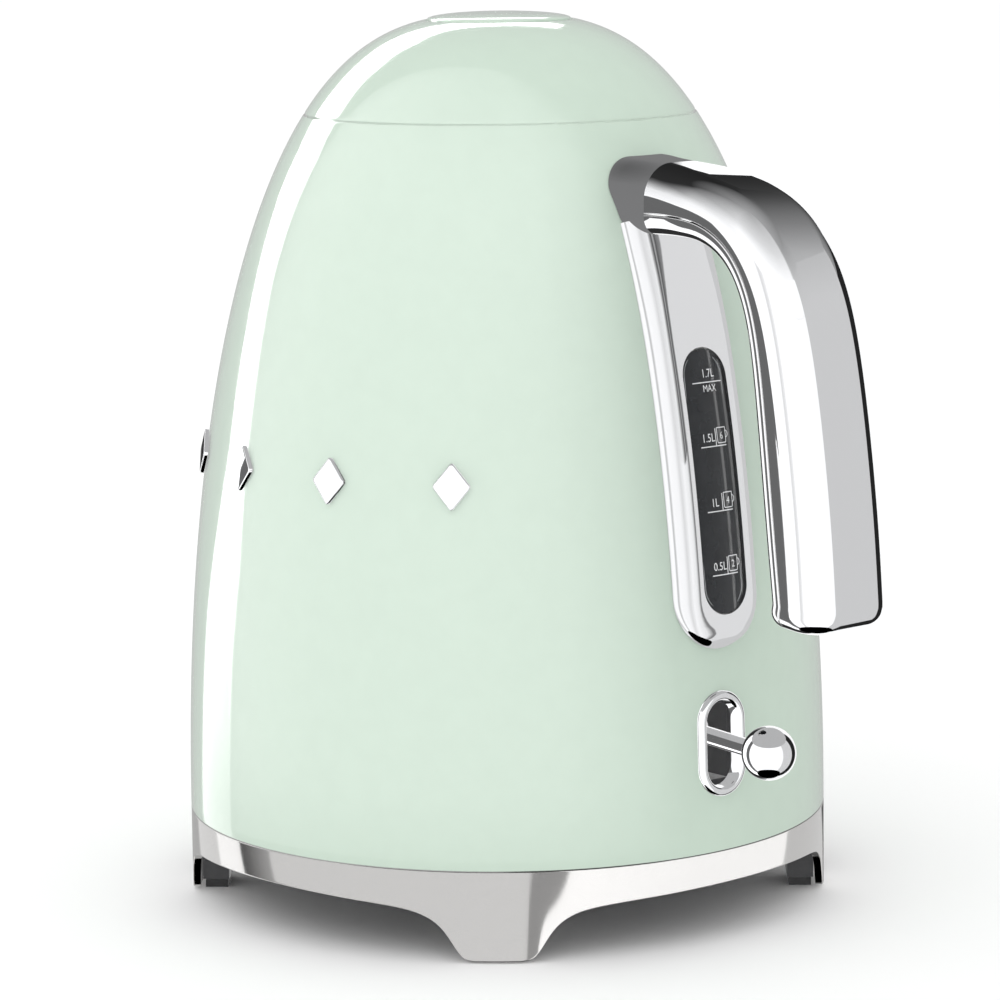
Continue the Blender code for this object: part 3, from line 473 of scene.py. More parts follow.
def make_paint_panels(paint):
    """An even room, a brighter front and one long soft box on the left that also passes over the lid."""
    panel("paint_room", paint, upright(-90, 90, [
        (-180, 0.50), (-150, 0.52), (-90, 0.58), (0, 0.60), (90, 0.62), (150, 0.55), (180, 0.50)]))
    front = [(-64, 0.0), (-45, 0.85), (-20, 1.5), (10, 1.5), (90, 1.5), (108, 1.25), (118, 0.7), (119, 0.0)]
    for name, low, high, under, over in (("floor", -60, -15, 0.05, 0.15), ("low", -15, -10, 0.15, 0.9),
                                         ("wall", -10, 40, 0.9, 1.0), ("top", 40, 90, 1.0, 0.35)):
        panel("paint_front_" + name, paint, upright(low, high, [
            (left, (bright * under, bright * over)) for left, bright in front]))
    panel("paint_soft_box", paint, [
        ((118, -30), (145, -30), 0.9), ((118, -12), (144, -12), 1.3), ((116.4, -7), (140.5, -7), 2.6),
        ((114, -3), (134, -3), 4.5), ((115, 0), (131, 0), 6.0), ((116.6, 5), (134, 5), 6.0),
        ((120.3, 12), (141, 12), 6.0), ((120.3, 17), (142, 16), 6.0), ((120, 25), (147, 18), 6.0),
        ((128, 34), (150, 22), 6.0), ((139, 42), (155, 25), 6.0), ((156, 45), (164, 27), 6.0),
        ((171, 39), (175, 28), 6.0), ((190, 36), (188, 28), 6.0)])


def make_ring_panels(ring):
    """Upright bands only, because the ring is an upright wall."""
    panel("ring_bands", ring, upright(-60, 60, [
        (-180, 0.10), (-160, 0.12), (-159, 0.70), (-119, 0.70), (-118, 1.28), (-70, 1.30), (-21.5, 1.42),
        (-20.5, 0.40), (-8.5, 0.38), (-7.5, 0.84), (93, 0.82), (94, 0.45), (110.5, 0.07), (111, 1.3),
        (127.5, 1.3), (128.5, 0.85), (149, 0.85), (151, 0.5), (180, 0.45)]))


def make_handle_panels(handle):
    """White walls with grey and black cards between them, and a black card over the back."""
    right = [(-138.5, 1.1), (-138, 0.02), (-108, 0.02), (-107.5, 0.66), (-58.6, 0.66)]
    white = [(-58, 1.15), (0, 1.3), (39, 1.3), (45, 0.95), (51, 0.82), (57, 1.3)]
    edge = [(-180, 1.2), (-170, 1.2)]
    back = [(112.5, 1.2), (140, 1.4), (141, 0.03), (176, 0.03), (177, 1.2), (180, 1.2)]
    panel("handle_low", handle, upright(-60, -6.5, edge + right + white + [
        (92.5, 1.3), (93, 0.15), (112, 0.15)] + back))
    panel("handle_root", handle, upright(-6.5, -2, edge + right + white + [
        (88.5, 1.3), (89, 0.15), (118, 0.15), (118.5, 1.2)] + back[1:]))
    panel("handle_middle", handle, upright(-2, 9, edge + right + white + [
        (88.5, 1.3), (89, 0.15), (116, 0.15), (116.5, 1.1), (141, 1.0), (142, 0.03), (174, 0.03), (175, 1.2),
        (180, 1.2)]))
    over = [(118, (1.1, 0.9)), (132, (1.0, 0.5)), (142, 0.03), (180, 0.03)]
    panel("handle_over", handle, upright(9, 24, [
        (-180, 0.03), (-176.5, 0.03), (-176, 1.2)] + right + white + over))
    panel("handle_high", handle, upright(24, 38, [
        (-180, 0.02), (-160, (0.03, 0.05)), (-130, (0.10, 0.20)), (-108, (0.40, 0.30)), (-107, (0.66, 0.55)),
        (-58.6, (0.66, 0.6)), (-58, 1.15), (60, 1.2), (95, (1.1, 0.6)), (112, (0.9, 0.30)), (124, (0.3, 0.1)),
        (128, 0.03), (180, 0.02)]))
    panel("handle_ceiling", handle, upright(38, 54, [
        (-180, 0.02), (-165, 0.03), (-150, (0.08, 0.12)), (-123, (0.25, 0.22)), (-100, (0.50, 0.30)),
        (-58, (0.6, 0.4)), (-50, (1.15, 0.8)), (60, (1.2, 0.8)), (95, (0.60, 0.40)), (112, (0.30, 0.20)),
        (124, (0.10, 0.03)), (128, 0.03), (180, 0.02)]))
    panel("handle_top", handle, upright(54, 90, [
        (-180, (0.02, 0.4)), (-150, (0.12, 0.4)), (-123, (0.22, 0.4)), (-58, (0.4, 0.4)), (-50, (0.8, 0.4)),
        (60, (0.8, 0.4)), (95, (0.40, 0.4)), (112, (0.20, 0.4)), (124, (0.03, 0.4)), (180, (0.02, 0.4))]))


def make_collar_panels(collar):
    """The mid grey that the handle's root mirrors, darker above."""
    panel("collar_low", collar, upright(-60, 30, [(left, (0.22, 0.21)) for left in ALL_ROUND]))
    panel("collar_high", collar, upright(30, 90, [(left, (0.21, 0.06)) for left in ALL_ROUND]))


def make_trim_panels(trim):
    """Pale bands, with dark streaks where the strip leans back under the handle."""
    flank = [(-10, 0.80), (5, 1.05), (38, 1.1), (47, 0.62), (51, 0.62), (60, 1.15), (90, 1.1), (96, 0.72),
             (112, 0.6), (118, 1.0), (140, 1.0), (144, 0.6), (180, 0.5)]
    panel("trim_low", trim, upright(-60, 8, [
        (-180, 0.6), (-107, 0.65), (-106, 0.80), (-76, 0.80), (-74, 0.30), (-69, 0.22), (-62, 0.60),
        (-55, 0.90), (-30, 1.05)] + flank))
    panel("trim_high", trim, upright(8, 60, [
        (-180, 0.6), (-107, 0.65), (-106, 0.80), (-74, 0.78), (-72, 0.30), (-62, 0.10), (-56, 0.45),
        (-50, 0.08), (-42, 0.40), (-34, 0.95)] + flank))


def make_glass_panels(glass):
    """A dim room with two bright strips, which draw lines down the crowned window."""
    panel("glass_room", glass, upright(-60, 60, [
        (-180, 0.3), (-101, 0.4), (-100.5, 1.4), (-98.8, 1.4), (-98.3, 0.4), (-92.5, 0.4), (-92, 1.9),
        (-90, 1.9), (-89.5, 0.5), (-60, 0.3), (180, 0.3)]))


def make_other_panels(others):
    """White walls, grey cards and black flags for the small metal pieces and the plastics."""
    panel("other_wall", others, upright(-60, 33, [
        (-180, 1.1), (-138.5, 1.1), (-138, 0.02), (-107, 0.02), (-106.5, 0.70), (-58.6, 0.70), (-58, 1.15),
        (0, 1.3), (92.5, 1.3), (93, 0.15), (112, 0.15), (112.5, 1.6), (142, 1.6), (142.5, 0.03), (166, 0.03),
        (180, 0.5)]))
    panel("other_ceiling", others, upright(33, 90, [(left, 0.5) for left in ALL_ROUND]))


def make_light():
    """Even light from all round, which reflections don't see, and a large soft light from the left."""
    world = bpy.data.worlds.new("studio")
    bpy.context.scene.world = world
    world.use_nodes = True
    world.node_tree.nodes["Background"].inputs["Color"].default_value = (1, 1, 1, 1)
    world.node_tree.nodes["Background"].inputs["Strength"].default_value = SKY_STRENGTH
    world.cycles_visibility.glossy = False
    data = bpy.data.lights.new("key", "AREA")
    data.shape, data.energy = "RECTANGLE", KEY_POWER
    data.size, data.size_y = KEY_SIZE
    key = bpy.data.objects.new("key", data)
    bpy.context.scene.collection.objects.link(key)
    key.location = AXIS + direction(*KEY_PLACE) * KEY_REACH
    key.rotation_euler = direction(*KEY_PLACE).to_track_quat("Z", "Y").to_euler()
    key.visible_glossy = False
    key.visible_camera = False
    bpy.context.scene.view_settings.view_transform = "Standard"


# The body, the lid and the button.

def make_shell():
    """The dome wall, painted outside and bare steel inside. Its top rolls in under the lid."""
    roll, slope = dome_point(ROLL_HEIGHT), dome_slope(ROLL_HEIGHT)
    rim = dome_height(MOUTH_RADIUS) - GAP
    corner = roll + slope * ((rim - roll.y) / slope.y)
    foot = dome_point(BODY_BOTTOM + 0.8 * MM)
    hem = BODY_BOTTOM - 0.15 * MM
    outline = bend((BODY_RADIUS - SEAM_EASE, hem), (BODY_RADIUS, hem), (BODY_RADIUS, hem + SEAM_EASE), 4)
    outline += dome_curve(foot.y, ROLL_HEIGHT, 150)[1:]
    outline += bend(roll, corner, (MOUTH_RADIUS + 0.2 * MM, rim), 12)[1:]
    outline += [(MOUTH_RADIUS, rim - 0.3 * MM), (MOUTH_RADIUS, rim - 1.3 * MM)]
    outline += dome_curve(BODY_BOTTOM + 1 * MM, SEAM_HEIGHT - 2.6 * MM, 60, SHELL_WALL)[::-1]
    outline += [(BODY_RADIUS - SHELL_WALL, hem)]
    shell = piece("shell_paint", turned(outline, 384), "kettle", "mint_paint", ["outer_shell"])
    cut(shell, window_hole())
    cut(shell, spout_hole())
    room = 0.6 * MM
    slot = stadium(SLOT_HALF_WIDTH + room, SLOT_BOTTOM - room, SLOT_TOP + room)
    cut(shell, plate_x(slot, 80 * MM, 99 * MM))
    shell.data.materials.append(FINISHES["steel"])
    for face in shell.data.polygons:
        if faces_inward(face):
            face.material_index = len(shell.data.materials) - 1


def faces_inward(face):
    """Whether a face of the shell is on its unpainted inside."""
    out = face.center - AXIS
    return face.normal.x * out.x + face.normal.y * out.y < -0.1 * out.length


def plate_x(outline, low, high):
    """An upright plate across X from its (across, height) outline."""
    return lofted([[Vector((x, y, z)) for y, z in outline] for x in (low, high)])


def make_lid():
    """The painted cap, with an eased lower edge, an eased rim round the button and a skirt in the mouth."""
    hole = BUTTON_RADIUS + GAP
    edge_height = dome_height(SKIRT_RADIUS + 0.5 * MM) + 0.3 * MM
    rise, fall = dome_point(edge_height + 0.9 * MM), dome_slope(edge_height + 0.9 * MM)
    corner = rise - fall * ((rise.y - edge_height) / fall.y)
    outline = bend((SKIRT_RADIUS, edge_height - 0.15 * MM), corner, rise, 8)
    top, slope = dome_point(dome_height(hole + 1.3 * MM)), dome_slope(dome_height(hole + 1.3 * MM))
    outline += dome_curve(rise.y, top.y, 70)[1:]
    inner = top + slope * ((top.x - hole) / -slope.x)
    outline += bend(top, inner, (hole, inner.y - 1.0 * MM), 8)[1:]
    outline += [(hole, inner.y - 1.6 * MM)]
    inside = dome_curve(edge_height + 1.1 * MM, dome_height(hole + 0.9 * MM), 30, SHELL_WALL)
    inner_skirt = SKIRT_RADIUS - SHELL_WALL
    outline += inside[::-1] + [(inner_skirt, inside[0].y - 1 * MM), (inner_skirt, SKIRT_BOTTOM),
                               (SKIRT_RADIUS, SKIRT_BOTTOM)]
    piece("lid_paint", turned(outline, 384), "lid", "mint_paint", ["lid_dome"])


def make_button():
    """The push button, an ellipsoid cap with a short straight wall, and its stem."""
    edge = dome_height(BUTTON_RADIUS)
    crown = [(BUTTON_RADIUS * cos(radians(a)), edge + (TOTAL_HEIGHT - edge) * sin(radians(a)))
             for a in range(0, 90, 3)] + [(0, TOTAL_HEIGHT)]
    stem, tip, stem_end = 5 * MM, 3.4 * MM, 213 * MM
    inner, roof, hem = BUTTON_RADIUS - 1.5 * MM, edge - 3.2 * MM, edge - 8 * MM
    under = [(0, stem_end), (tip, stem_end), (stem, stem_end + 3 * MM), (stem, roof), (inner, roof),
             (inner, hem), (BUTTON_RADIUS, hem)]
    piece("button_paint", turned(under + crown, 192), "button", "mint_paint", ["lid_button"])


# The spout.

def spout_section(x, margin=0.0, wall=0.0, turns=48):
    """One upright section at x, in millimetres: a shield shape, or a channel where a wall is given."""
    t = max((-x - SPOUT_ROOT) / SPOUT_REACH, 0)
    bottom = SPOUT_BOTTOM + SPOUT_CLIMB * t**0.8 - margin
    top = SPOUT_TOP + SPOUT_TOP_CLIMB * t + margin
    width = SPOUT_HALF_WIDTH - SPOUT_TAPER * t**1.25 + margin
    angles = [radians(-90 + 180 * step / turns) for step in range(turns + 1)]
    curve = shield(width, bottom, top, angles)
    if wall:
        curve += shield(width - wall, bottom + wall, top, angles[::-1])
    return [Vector((x, y, z)) * MM for y, z in curve]


def shield(width, bottom, top, angles):
    """The lower edge of a shield shape, as (across, height)."""
    return [(width * sin(a), top - (top - bottom) * max(cos(a), 0) ** 1.15) for a in angles]


def spout_hole():
    """What is cut from the shell for the spout: its outline, a little wider, right through the wall."""
    start, end, steps = -72, -54, 8
    return lofted([spout_section(start + (end - start) * s / steps, margin=0.4) for s in range(steps + 1)])


def make_spout():
    """The open beak that pours, narrowing and rising to its lip."""
    stations = [-SPOUT_START - SPOUT_LENGTH * (step / 40) ** 0.85 for step in range(41)]
    mesh = lofted([spout_section(x, wall=SPOUT_WALL) for x in stations])
    piece("spout_chrome", mesh, "kettle", "chrome", ["spout"], 50)


# The handle.

def handle_path():
    """Pairs of (inner, outer) points down the handle's middle plane, up to where its rounded tip begins."""
    inner = eased(spline([Vector(p) * MM for p in HANDLE_INNER], 16), 60)
    outer = eased(spline([Vector(p) * MM for p in HANDLE_OUTER], 16), 60)
    return list(zip(inner, outer))


def handle_half_width(reach):
    """Half the handle's width at a distance from the kettle's axis."""
    taper = held((TAPER_START - reach) / TAPER_REACH)
    flare = held((FLARE_START - reach) / FLARE_REACH)
    return HANDLE_HALF_WIDTH - HANDLE_TAPER * taper**2 * (3 - 2 * taper) + HANDLE_FLARE * flare**2


def handle_sections(near, far, corners, tip_steps=14):
    """Sections across the handle between two depths, with corners rounded by the two given radii.

    The tip is a quarter turn that draws every side in together.
    """
    frames = [(low, high, 0.0) for low, high in handle_path()]
    low, high = frames[-1][:2]
    down = TIP_DIRECTION.normalized()
    for step in range(tip_steps + 1):
        turn = radians(90 * step / tip_steps)
        fall = down * (HANDLE_TIP - TIP_TURN * (1 - sin(turn)))
        frames.append((low + fall, high + fall, TIP_TURN * (1 - cos(turn))))
    sections = []
    for low, high, draw in frames:
        across = high - low
        thick = across.length
        unit = across.normalized()
        stop = thick if far is None else min(far, thick)
        start = min(draw, stop * 0.8) if near == 0 else near
        end = stop - draw if far is None else stop
        half = handle_half_width(low.x) - draw
        radii = [max(min(radius - draw, (end - start) * 0.92), 0.3 * MM) for radius in corners]
        points = []
        for side, level, radius, turn in ((1, end, radii[1], 0), (-1, end, radii[1], 90),
                                          (-1, start, radii[0], 180), (1, start, radii[0], 270)):
            toward = 1 if level == end else -1
            for quarter in range(17):
                angle = radians(turn + 90 * quarter / 16)
                y = side * (half - radius) + radius * cos(angle)
                place = low + unit * (level - toward * radius + radius * sin(angle))
                points.append(Vector((place.x, y, place.y)))
        sections.append(points)
    return sections


def dome_room():
    """The dome to well over the handle's root, a gap proud of its surface, for cutting what stands on it."""
    top = 240 * MM
    return turned([(0, BODY_BOTTOM)] + dome_curve(BODY_BOTTOM, top, 90, -GAP) + [(0, top)], 192)


def root_block(end):
    """The space round the handle's root, out to a distance from the axis."""
    wide, low, high, start = 30 * MM, 170 * MM, 240 * MM, 40 * MM
    return plate_x([(-wide, low), (wide, low), (wide, high), (-wide, high)], start, end)


def make_handle():
    """The polished handle: an outer shell, a lining that closes its inner side and the plain root of both."""
    seam = crisp = 0.3 * MM  # the gap between the two, and the corners along it
    rows = (("handle_outer", HANDLE_LINING + seam, None, (crisp, HANDLE_ROUND), ["handle_shell"]),
            ("handle_inner", 0, HANDLE_LINING, (LINING_ROUND, crisp), ["handle_lining"]),
            ("handle_collar", 0, None, (LINING_ROUND, HANDLE_ROUND), []))
    parts = []
    for name, near, far, corners, nodes in rows:
        mesh = lofted(handle_sections(near, far, corners))
        parts.append(cut(piece(name, mesh, "kettle", "chrome", nodes), dome_room()))
    shell, lining, collar = parts
    for thing in (shell, lining):
        cut(thing, root_block(COLLAR_END))
    cut(collar, root_block(COLLAR_END - 0.1 * MM), "INTERSECT")


# The water gauge.

def strip_heights(half_width, bottom, top, round_top, steps):
    """Heights for a strip's sections, closer together at its round ends."""
    ends = [half_width * (1 - cos(radians(a))) for a in range(6, 91, 6)]
    low = bottom + half_width
    high = top - half_width if round_top else top
    middle = [low + (high - low) * s / steps for s in range(1, steps)]
    tail = [top - e for e in ends[::-1]] if round_top else [top]
    return [bottom + e for e in ends] + middle + tail


def window_hole():
    """What is cut away for the window: its round-ended outline, right through the wall and the trim."""
    corners = ((-1, -WINDOW_CUT), (1, -WINDOW_CUT), (1, WINDOW_CUT), (-1, WINDOW_CUT))
    sections = []
    for height in strip_heights(WINDOW_HALF_WIDTH, WINDOW_BOTTOM, WINDOW_TOP, True, 40):
        wide = stadium_half_width(height, WINDOW_HALF_WIDTH, WINDOW_BOTTOM, WINDOW_TOP)
        sections.append([on_front(height, 0, proud) + Vector((0, side * wide, 0)) for side, proud in corners])
    return lofted(sections)


def make_trim():
    """The polished strip under the handle: a flat ridge round the window, between sloping flanks."""
    flank = TRIM_HALF_WIDTH - RIDGE_HALF_WIDTH
    sections = []
    for height in strip_heights(TRIM_HALF_WIDTH, TRIM_BOTTOM, TRIM_TOP, False, 60):
        wide = stadium_half_width(height, TRIM_HALF_WIDTH, TRIM_BOTTOM)
        ridge = stadium_half_width(height, RIDGE_HALF_WIDTH, TRIM_BOTTOM + flank)
        climb = sin(pi / 2 * min((height - TRIM_BOTTOM) / flank, 1))
        rise = RIDGE_START + (RIDGE - RIDGE_START) * climb
        fade = held((height - FADE_START) / FADE_REACH)
        crest = max(ridge - (0.6 + 5.0 * fade**2) * MM, wide * 0.3)
        turns = [radians(90 * step / 12) for step in range(13)]
        half = [(wide, GAP)]
        half += [(crest + (wide - crest) * cos(t), TRIM_EDGE + (rise - TRIM_EDGE) * sin(t)) for t in turns]
        half += [(crest * 0.5, rise)]
        over = [on_front(height, 0, proud) + Vector((0, across, 0)) - Vector((fall_of(height, across), 0, 0))
                for across, proud in half]
        mirror = [Vector((point.x, -point.y, point.z)) for point in over[::-1]]
        under = [on_front(height, wide * share, GAP) for share in (-0.6, -0.2, 0.2, 0.6)]
        sections.append(over + [on_front(height, 0, rise)] + mirror + under)
    trim = piece("gauge_surround", lofted(sections), "kettle", "chrome", ["gauge_trim"], 40)
    cut(trim, window_hole(), smooth=40)


def fall_of(height, across):
    """How far the dome falls back at a distance across, near the strip's edges only."""
    reach = max(abs(across) - RIDGE_HALF_WIDTH, 0) / (TRIM_HALF_WIDTH - RIDGE_HALF_WIDTH)
    radius = dome_radius(height)
    return (radius - sqrt(radius**2 - across**2)) * reach


def make_window():
    """The smoked window and its raised inner outline, whose light grey is a painted highlight."""
    clear = WINDOW_HALF_WIDTH - GAP
    piece("gauge_glass", crowned_glass(clear), "kettle", "smoked_plastic", ["gauge_window"])
    outer = clear - RAIL_INSET
    rail = window_ring(outer, outer - RAIL_WIDTH, GLASS_PROUD - RAIL_SUNK, GLASS_PROUD + RAIL_PROUD)
    # The rail is light grey rather than smoked: a painted highlight along the window's inner outline.
    piece("gauge_lip", rail, "kettle", "smoked_plastic", [], look="window_edge")


def glass_level(across):
    """How proud of the dome the window's crowned face stands, at a distance from its middle."""
    return GLASS_PROUD + GLASS_CROWN * (1 - (across / WINDOW_HALF_WIDTH) ** 2)


def crowned_glass(half_width):
    """The window: round-ended, flat behind and crowned across its face."""
    bottom = WINDOW_BOTTOM + WINDOW_HALF_WIDTH - half_width
    top = WINDOW_TOP - WINDOW_HALF_WIDTH + half_width
    sections = []
    for height in strip_heights(half_width, bottom, top, True, 40):
        wide = stadium_half_width(height, half_width, bottom, top)
        face = [on_front(height, 0, glass_level(wide * share)) + Vector((0, wide * share, 0))
                for share in (1 - step / 12 for step in range(25))]
        back = [on_front(height, 0, GLASS_BACK) + Vector((0, side * wide, 0)) for side in (-1, 1)]
        sections.append(back + face)
    return lofted(sections)


def window_ring(outer, inner, low, high):
    """A low rounded rail that follows the window's outline."""
    path = stadium(1.0, 0, 2, 32)  # its first half is the upper end
    bottom, top = WINDOW_BOTTOM + WINDOW_HALF_WIDTH, WINDOW_TOP - WINDOW_HALF_WIDTH
    middle, half = (outer + inner) / 2, (outer - inner) / 2
    sections = []
    for index, (across, level) in enumerate(path):
        out = Vector((across, level - 1))
        centre_height = top if index < len(path) / 2 else bottom
        section = []
        for turn in range(8):
            angle = radians(turn * 45)
            reach = middle + half * cos(angle)
            height = centre_height + out.y * reach
            proud = (low + high) / 2 + (high - low) / 2 * sin(angle)
            section.append(on_front(height, 0, proud) + Vector((0, out.x * reach, 0)))
        sections.append(section)
    return lofted(sections, closed=True)


# The scale on the window. Each mark lies on the glass, which leans with the dome.

PRINT = 0.16 * MM  # how far the print stands over the glass
MARK_LINE, CUP_LINE = 0.28 * MM, 0.24 * MM
FIGURE_WIDTH = 0.86  # how narrow the figures are, as a share of the font's own width


def on_glass(across, height):
    """A point on the window's face. Across runs to the right as one looks at the handle's side."""
    return on_front(height, 0, glass_level(across) + PRINT) + Vector((0, across, 0))


def stroke(points, width=MARK_LINE):
    """A flat printed line through (across, height) points."""
    mesh = bmesh.new()
    points = [Vector(point) for point in points]
    points = [a.lerp(b, step / 12) for a, b in zip(points, points[1:]) for step in range(12)] + points[-1:]
    pairs = []
    for before, point, after in zip([points[0]] + points[:-1], points, points[1:] + [points[-1]]):
        along = (after - before).normalized()
        side = Vector((-along.y, along.x)) * width / 2
        pairs.append((mesh.verts.new(on_glass(*(point + side))), mesh.verts.new(on_glass(*(point - side)))))
    for (a, b), (c, d) in zip(pairs, pairs[1:]):
        mesh.faces.new((a, b, d, c))
    return mesh


def joined(meshes):
    """Several bmeshes as one."""
    whole = bmesh.new()
    for mesh in meshes:
        data = bpy.data.meshes.new("step")
        mesh.to_mesh(data)
        mesh.free()
        whole.from_mesh(data)
        bpy.data.meshes.remove(data)
    return whole


def words(name, text, size, across, height):
    """Printed figures, as a mesh laid on the glass."""
    curve = bpy.data.curves.new(name, "FONT")
    curve.body, curve.size, curve.align_x, curve.align_y = text, size, "CENTER", "CENTER"
    curve.resolution_u = 3
    holder = bpy.data.objects.new(name, curve)
    bpy.context.scene.collection.objects.link(holder)
    bpy.context.view_layer.update()
    data = bpy.data.meshes.new_from_object(holder.evaluated_get(bpy.context.evaluated_depsgraph_get()))
    mesh = bmesh.new()
    mesh.from_mesh(data)
    bpy.data.objects.remove(holder, do_unlink=True)
    for vert in mesh.verts:
        vert.co = on_glass(across + vert.co.x * FIGURE_WIDTH, height + vert.co.y)
    return mesh


def cup(across, height):
    """A small mug: the sign for a number of cups."""
    wide, tall = 1.6 * MM, 2.0 * MM
    bowl = [(across - wide, height + tall)]
    bowl += [(across - wide + 0.25 * MM * (1 - cos(t)), height - tall * 0.45 - tall * 0.55 * sin(t))
             for t in (pi / 2 * s / 4 for s in range(5))]
    bowl += [(2 * across - x, y) for x, y in bowl[::-1]]
    bowl.append(bowl[0])
    ear = [(across + wide + 0.8 * MM * sin(t), height + 0.2 * MM + 0.9 * MM * cos(t))
           for t in (pi * s / 8 for s in range(9))]
    return [stroke(bowl, CUP_LINE), stroke(ear, CUP_LINE)]


def make_scale():
    """Litres to the left and cups to the right of a divider, over a line at each level."""
    top, divider, cups_middle = 151.05 * MM, 1.5 * MM, 3.7 * MM
    marks = [stroke([(-4.2 * MM, top), (6.2 * MM, top)]),
             words("most", "1.7L", 3.1 * MM, divider, top + 2.2 * MM),
             words("limit", "MAX", 2.6 * MM, divider, top - 1.7 * MM)]
    for litres, cups, height in (("1.5L", "6", 134.3), ("1L", "4", 117.3), ("0.5L", "2", 100.5)):
        level = height * MM
        marks += [stroke([(-3.9 * MM, level), (5.3 * MM, level)]),
                  stroke([(divider, level), (divider, level + 4.6 * MM)]),
                  words("litres", litres, 3.1 * MM, -1.1 * MM, level + 2.2 * MM),
                  words("cups", cups, 2.7 * MM, cups_middle, level + 2.5 * MM)]
        marks += cup(cups_middle, level + 2.7 * MM)
    piece("gauge_scale", joined(marks), "kettle", "smoked_plastic", [], look="white_print")


# The switch.

def make_switch():
    """A rounded chrome ring round the slot, the lever's arm and its ball."""
    low, high = SLOT_BOTTOM, SLOT_TOP
    ring = []
    for across, proud in ((8.25, -0.2), (8.25, 0.7), (7.95, 1.25), (7.3, 1.6), (6.6, 1.55), (6.1, 1.2),
                          (5.8, 0.5), (5.8, -2.6)):
        grow = across * MM - SLOT_HALF_WIDTH
        outline = stadium(across * MM, low - grow, high + grow, 32)
        ring.append([seat(y, z, proud * MM) for y, z in outline])
    mesh = lofted([list(section) for section in zip(*ring)], closed=True)
    piece("switch_ring", mesh, "kettle", "chrome", ["switch_frame"], 50)
    end = KNOB_CENTRE - Vector((KNOB_RADIUS - KNOB_SOCKET, 0, 0))
    arm = piece("lever_stem", rod(SWITCH_PIVOT, end, ARM_RADIUS), "lever", "chrome", ["lever_arm"])
    side = Vector((0, HUB_HALF_WIDTH, 0))
    cut(arm, rod(SWITCH_PIVOT - side, SWITCH_PIVOT + side, HUB_RADIUS), "UNION")
    cut(arm, rod(SWITCH_PIVOT - side * 2, SWITCH_PIVOT + side * 2, PIN_HOLE_RADIUS))
    ball = [(KNOB_RADIUS * sin(radians(a)), KNOB_RADIUS * cos(radians(a))) for a in range(0, 181, 3)]
    ball[0], ball[-1] = (0, ball[0][1]), (0, ball[-1][1])
    mesh = turned(ball, 96)
    bmesh.ops.translate(mesh, verts=mesh.verts, vec=KNOB_CENTRE)
    knob = piece("lever_ball", mesh, "lever", "chrome", ["lever_knob"])
    cut(knob, rod(SWITCH_PIVOT, end + Vector((GAP, 0, 0)), ARM_RADIUS + GAP))


def seat(across, height, proud):
    """A point over the dome on the handle's side that also follows the dome across."""
    radius, level = dome_point(height, -proud)
    return Vector((sqrt(radius**2 - across**2), across, level))


# The badges.

def make_badges():
    """Four plain lozenges with bevelled faces on one flank."""
    wide, tall = BADGE_HALF_WIDTH, BADGE_HALF_HEIGHT
    tilt = atan2(dome_radius(BADGE_HEIGHT - tall) - dome_radius(BADGE_HEIGHT + tall), 2 * tall)
    for number, angle in enumerate(BADGE_ANGLES, 1):
        corners = rounded([(wide, 0), (0, tall), (-wide, 0), (0, -tall)], BADGE_ROUND)
        shrink = ((1.0, -0.6), (1.0, 0.25), (0.975, 0.42), (0.93, 0.52), (0.87, 0.56))
        mesh = lofted([[Vector((x * MM, y * share, z * share)) for y, z in corners] for share, x in shrink])
        bmesh.ops.rotate(mesh, cent=(0, 0, 0), matrix=Matrix.Rotation(-tilt, 3, "Y"), verts=mesh.verts)
        place = Vector((dome_radius(BADGE_HEIGHT) + GAP + 0.8 * MM, 0, BADGE_HEIGHT))
        bmesh.ops.translate(mesh, verts=mesh.verts, vec=place)
        turn = Matrix.Rotation(radians(angle), 3, "Z")
        bmesh.ops.rotate(mesh, cent=(0, 0, 0), matrix=turn, verts=mesh.verts)
        piece(f"lozenge_{number}", mesh, "kettle", "chrome", [f"badge_{number}"])


# The power base.

def ring_lower_edge(angle):
    """Height of the ring's lower edge, at an angle in degrees from the middle of a foot."""
    past = angle - FOOT_HALF_ANGLE
    if past <= 0:
        return FOOT_BOTTOM
    swell = ARCH_SWELL * sin(radians(90 * past / (FOOT_SPACING / 2 - FOOT_HALF_ANGLE)))
    return FOOT_BOTTOM + ARCH_RISE * (1 - exp(-past / ARCH_TURN)) + swell


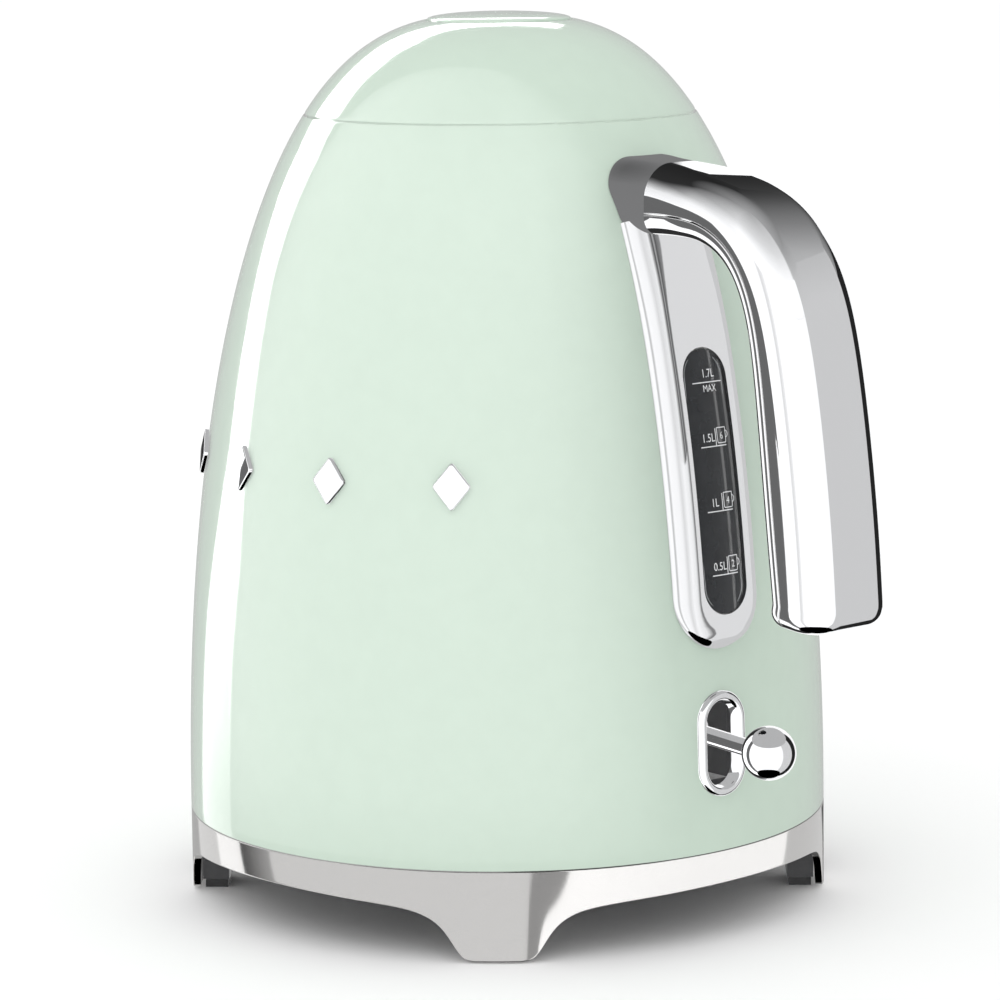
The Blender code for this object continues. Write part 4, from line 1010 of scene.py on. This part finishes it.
def make_ring():
    """The metal ring: an upright band with eased edges, whose lower edge arches between four feet."""
    columns, middle = 720, FOOT_SPACING / 2
    past_feet = [(360 * column / columns - FIRST_FOOT + middle) % FOOT_SPACING for column in range(columns)]
    heights = ring_eased([ring_lower_edge(abs(angle - middle)) for angle in past_feet], 10)
    outer, inner, ease = BODY_RADIUS, BODY_RADIUS - RING_WALL, 0.5 * MM
    top, under = RING_TOP + 0.1 * MM, RING_TOP - RING_WALL / 2
    sections = []
    for column, low in enumerate(heights):
        turn = radians(360 * column / columns)
        profile = bend((outer - ease, low), (outer, low), (outer, low + ease), 4)
        profile += bend((outer, top - SEAM_EASE), (outer, top), (outer - SEAM_EASE, top), 4)
        profile += [(outer - RING_LIP, top), (outer - RING_LIP, under), (inner, under), (inner, low)]
        sections.append([Vector((r * cos(turn), r * sin(turn), z)) for r, z in profile])
    piece("base_band", lofted(sections, closed=True), "power_base", "steel", ["base_ring"])


def ring_eased(values, rounds):
    """Smooth a row of numbers that closes on itself."""
    for _ in range(rounds):
        before, after = values[-1:] + values[:-1], values[1:] + values[:1]
        values = [(a + 2 * b + c) / 4 for a, b, c in zip(before, values, after)]
    return values


def finish_carried_nodes(frame):
    """Every CAD node that stays gets the finish of its slot."""
    for row in frame["record"]["subparts"]:
        slots = frame["nodes"][row["node"]].data.materials
        for index in range(len(slots)):
            slots[index] = FINISHES[row["material_slot"]]
        if not slots:
            slots.append(FINISHES[row["material_slot"]])


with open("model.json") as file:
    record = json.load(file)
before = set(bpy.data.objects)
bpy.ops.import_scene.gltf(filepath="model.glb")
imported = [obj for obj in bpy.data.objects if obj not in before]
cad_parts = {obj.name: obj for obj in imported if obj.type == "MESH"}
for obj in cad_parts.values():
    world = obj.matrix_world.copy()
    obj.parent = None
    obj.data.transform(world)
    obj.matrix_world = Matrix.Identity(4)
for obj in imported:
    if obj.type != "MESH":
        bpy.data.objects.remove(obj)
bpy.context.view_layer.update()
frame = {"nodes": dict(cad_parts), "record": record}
FINISHES = make_finishes()
make_camera()
finish_carried_nodes(frame)
for make in (make_shell, make_lid, make_button, make_spout, make_handle, make_trim, make_window, make_scale,
             make_switch, make_badges, make_ring, make_floor, make_panels, make_light):
    make()
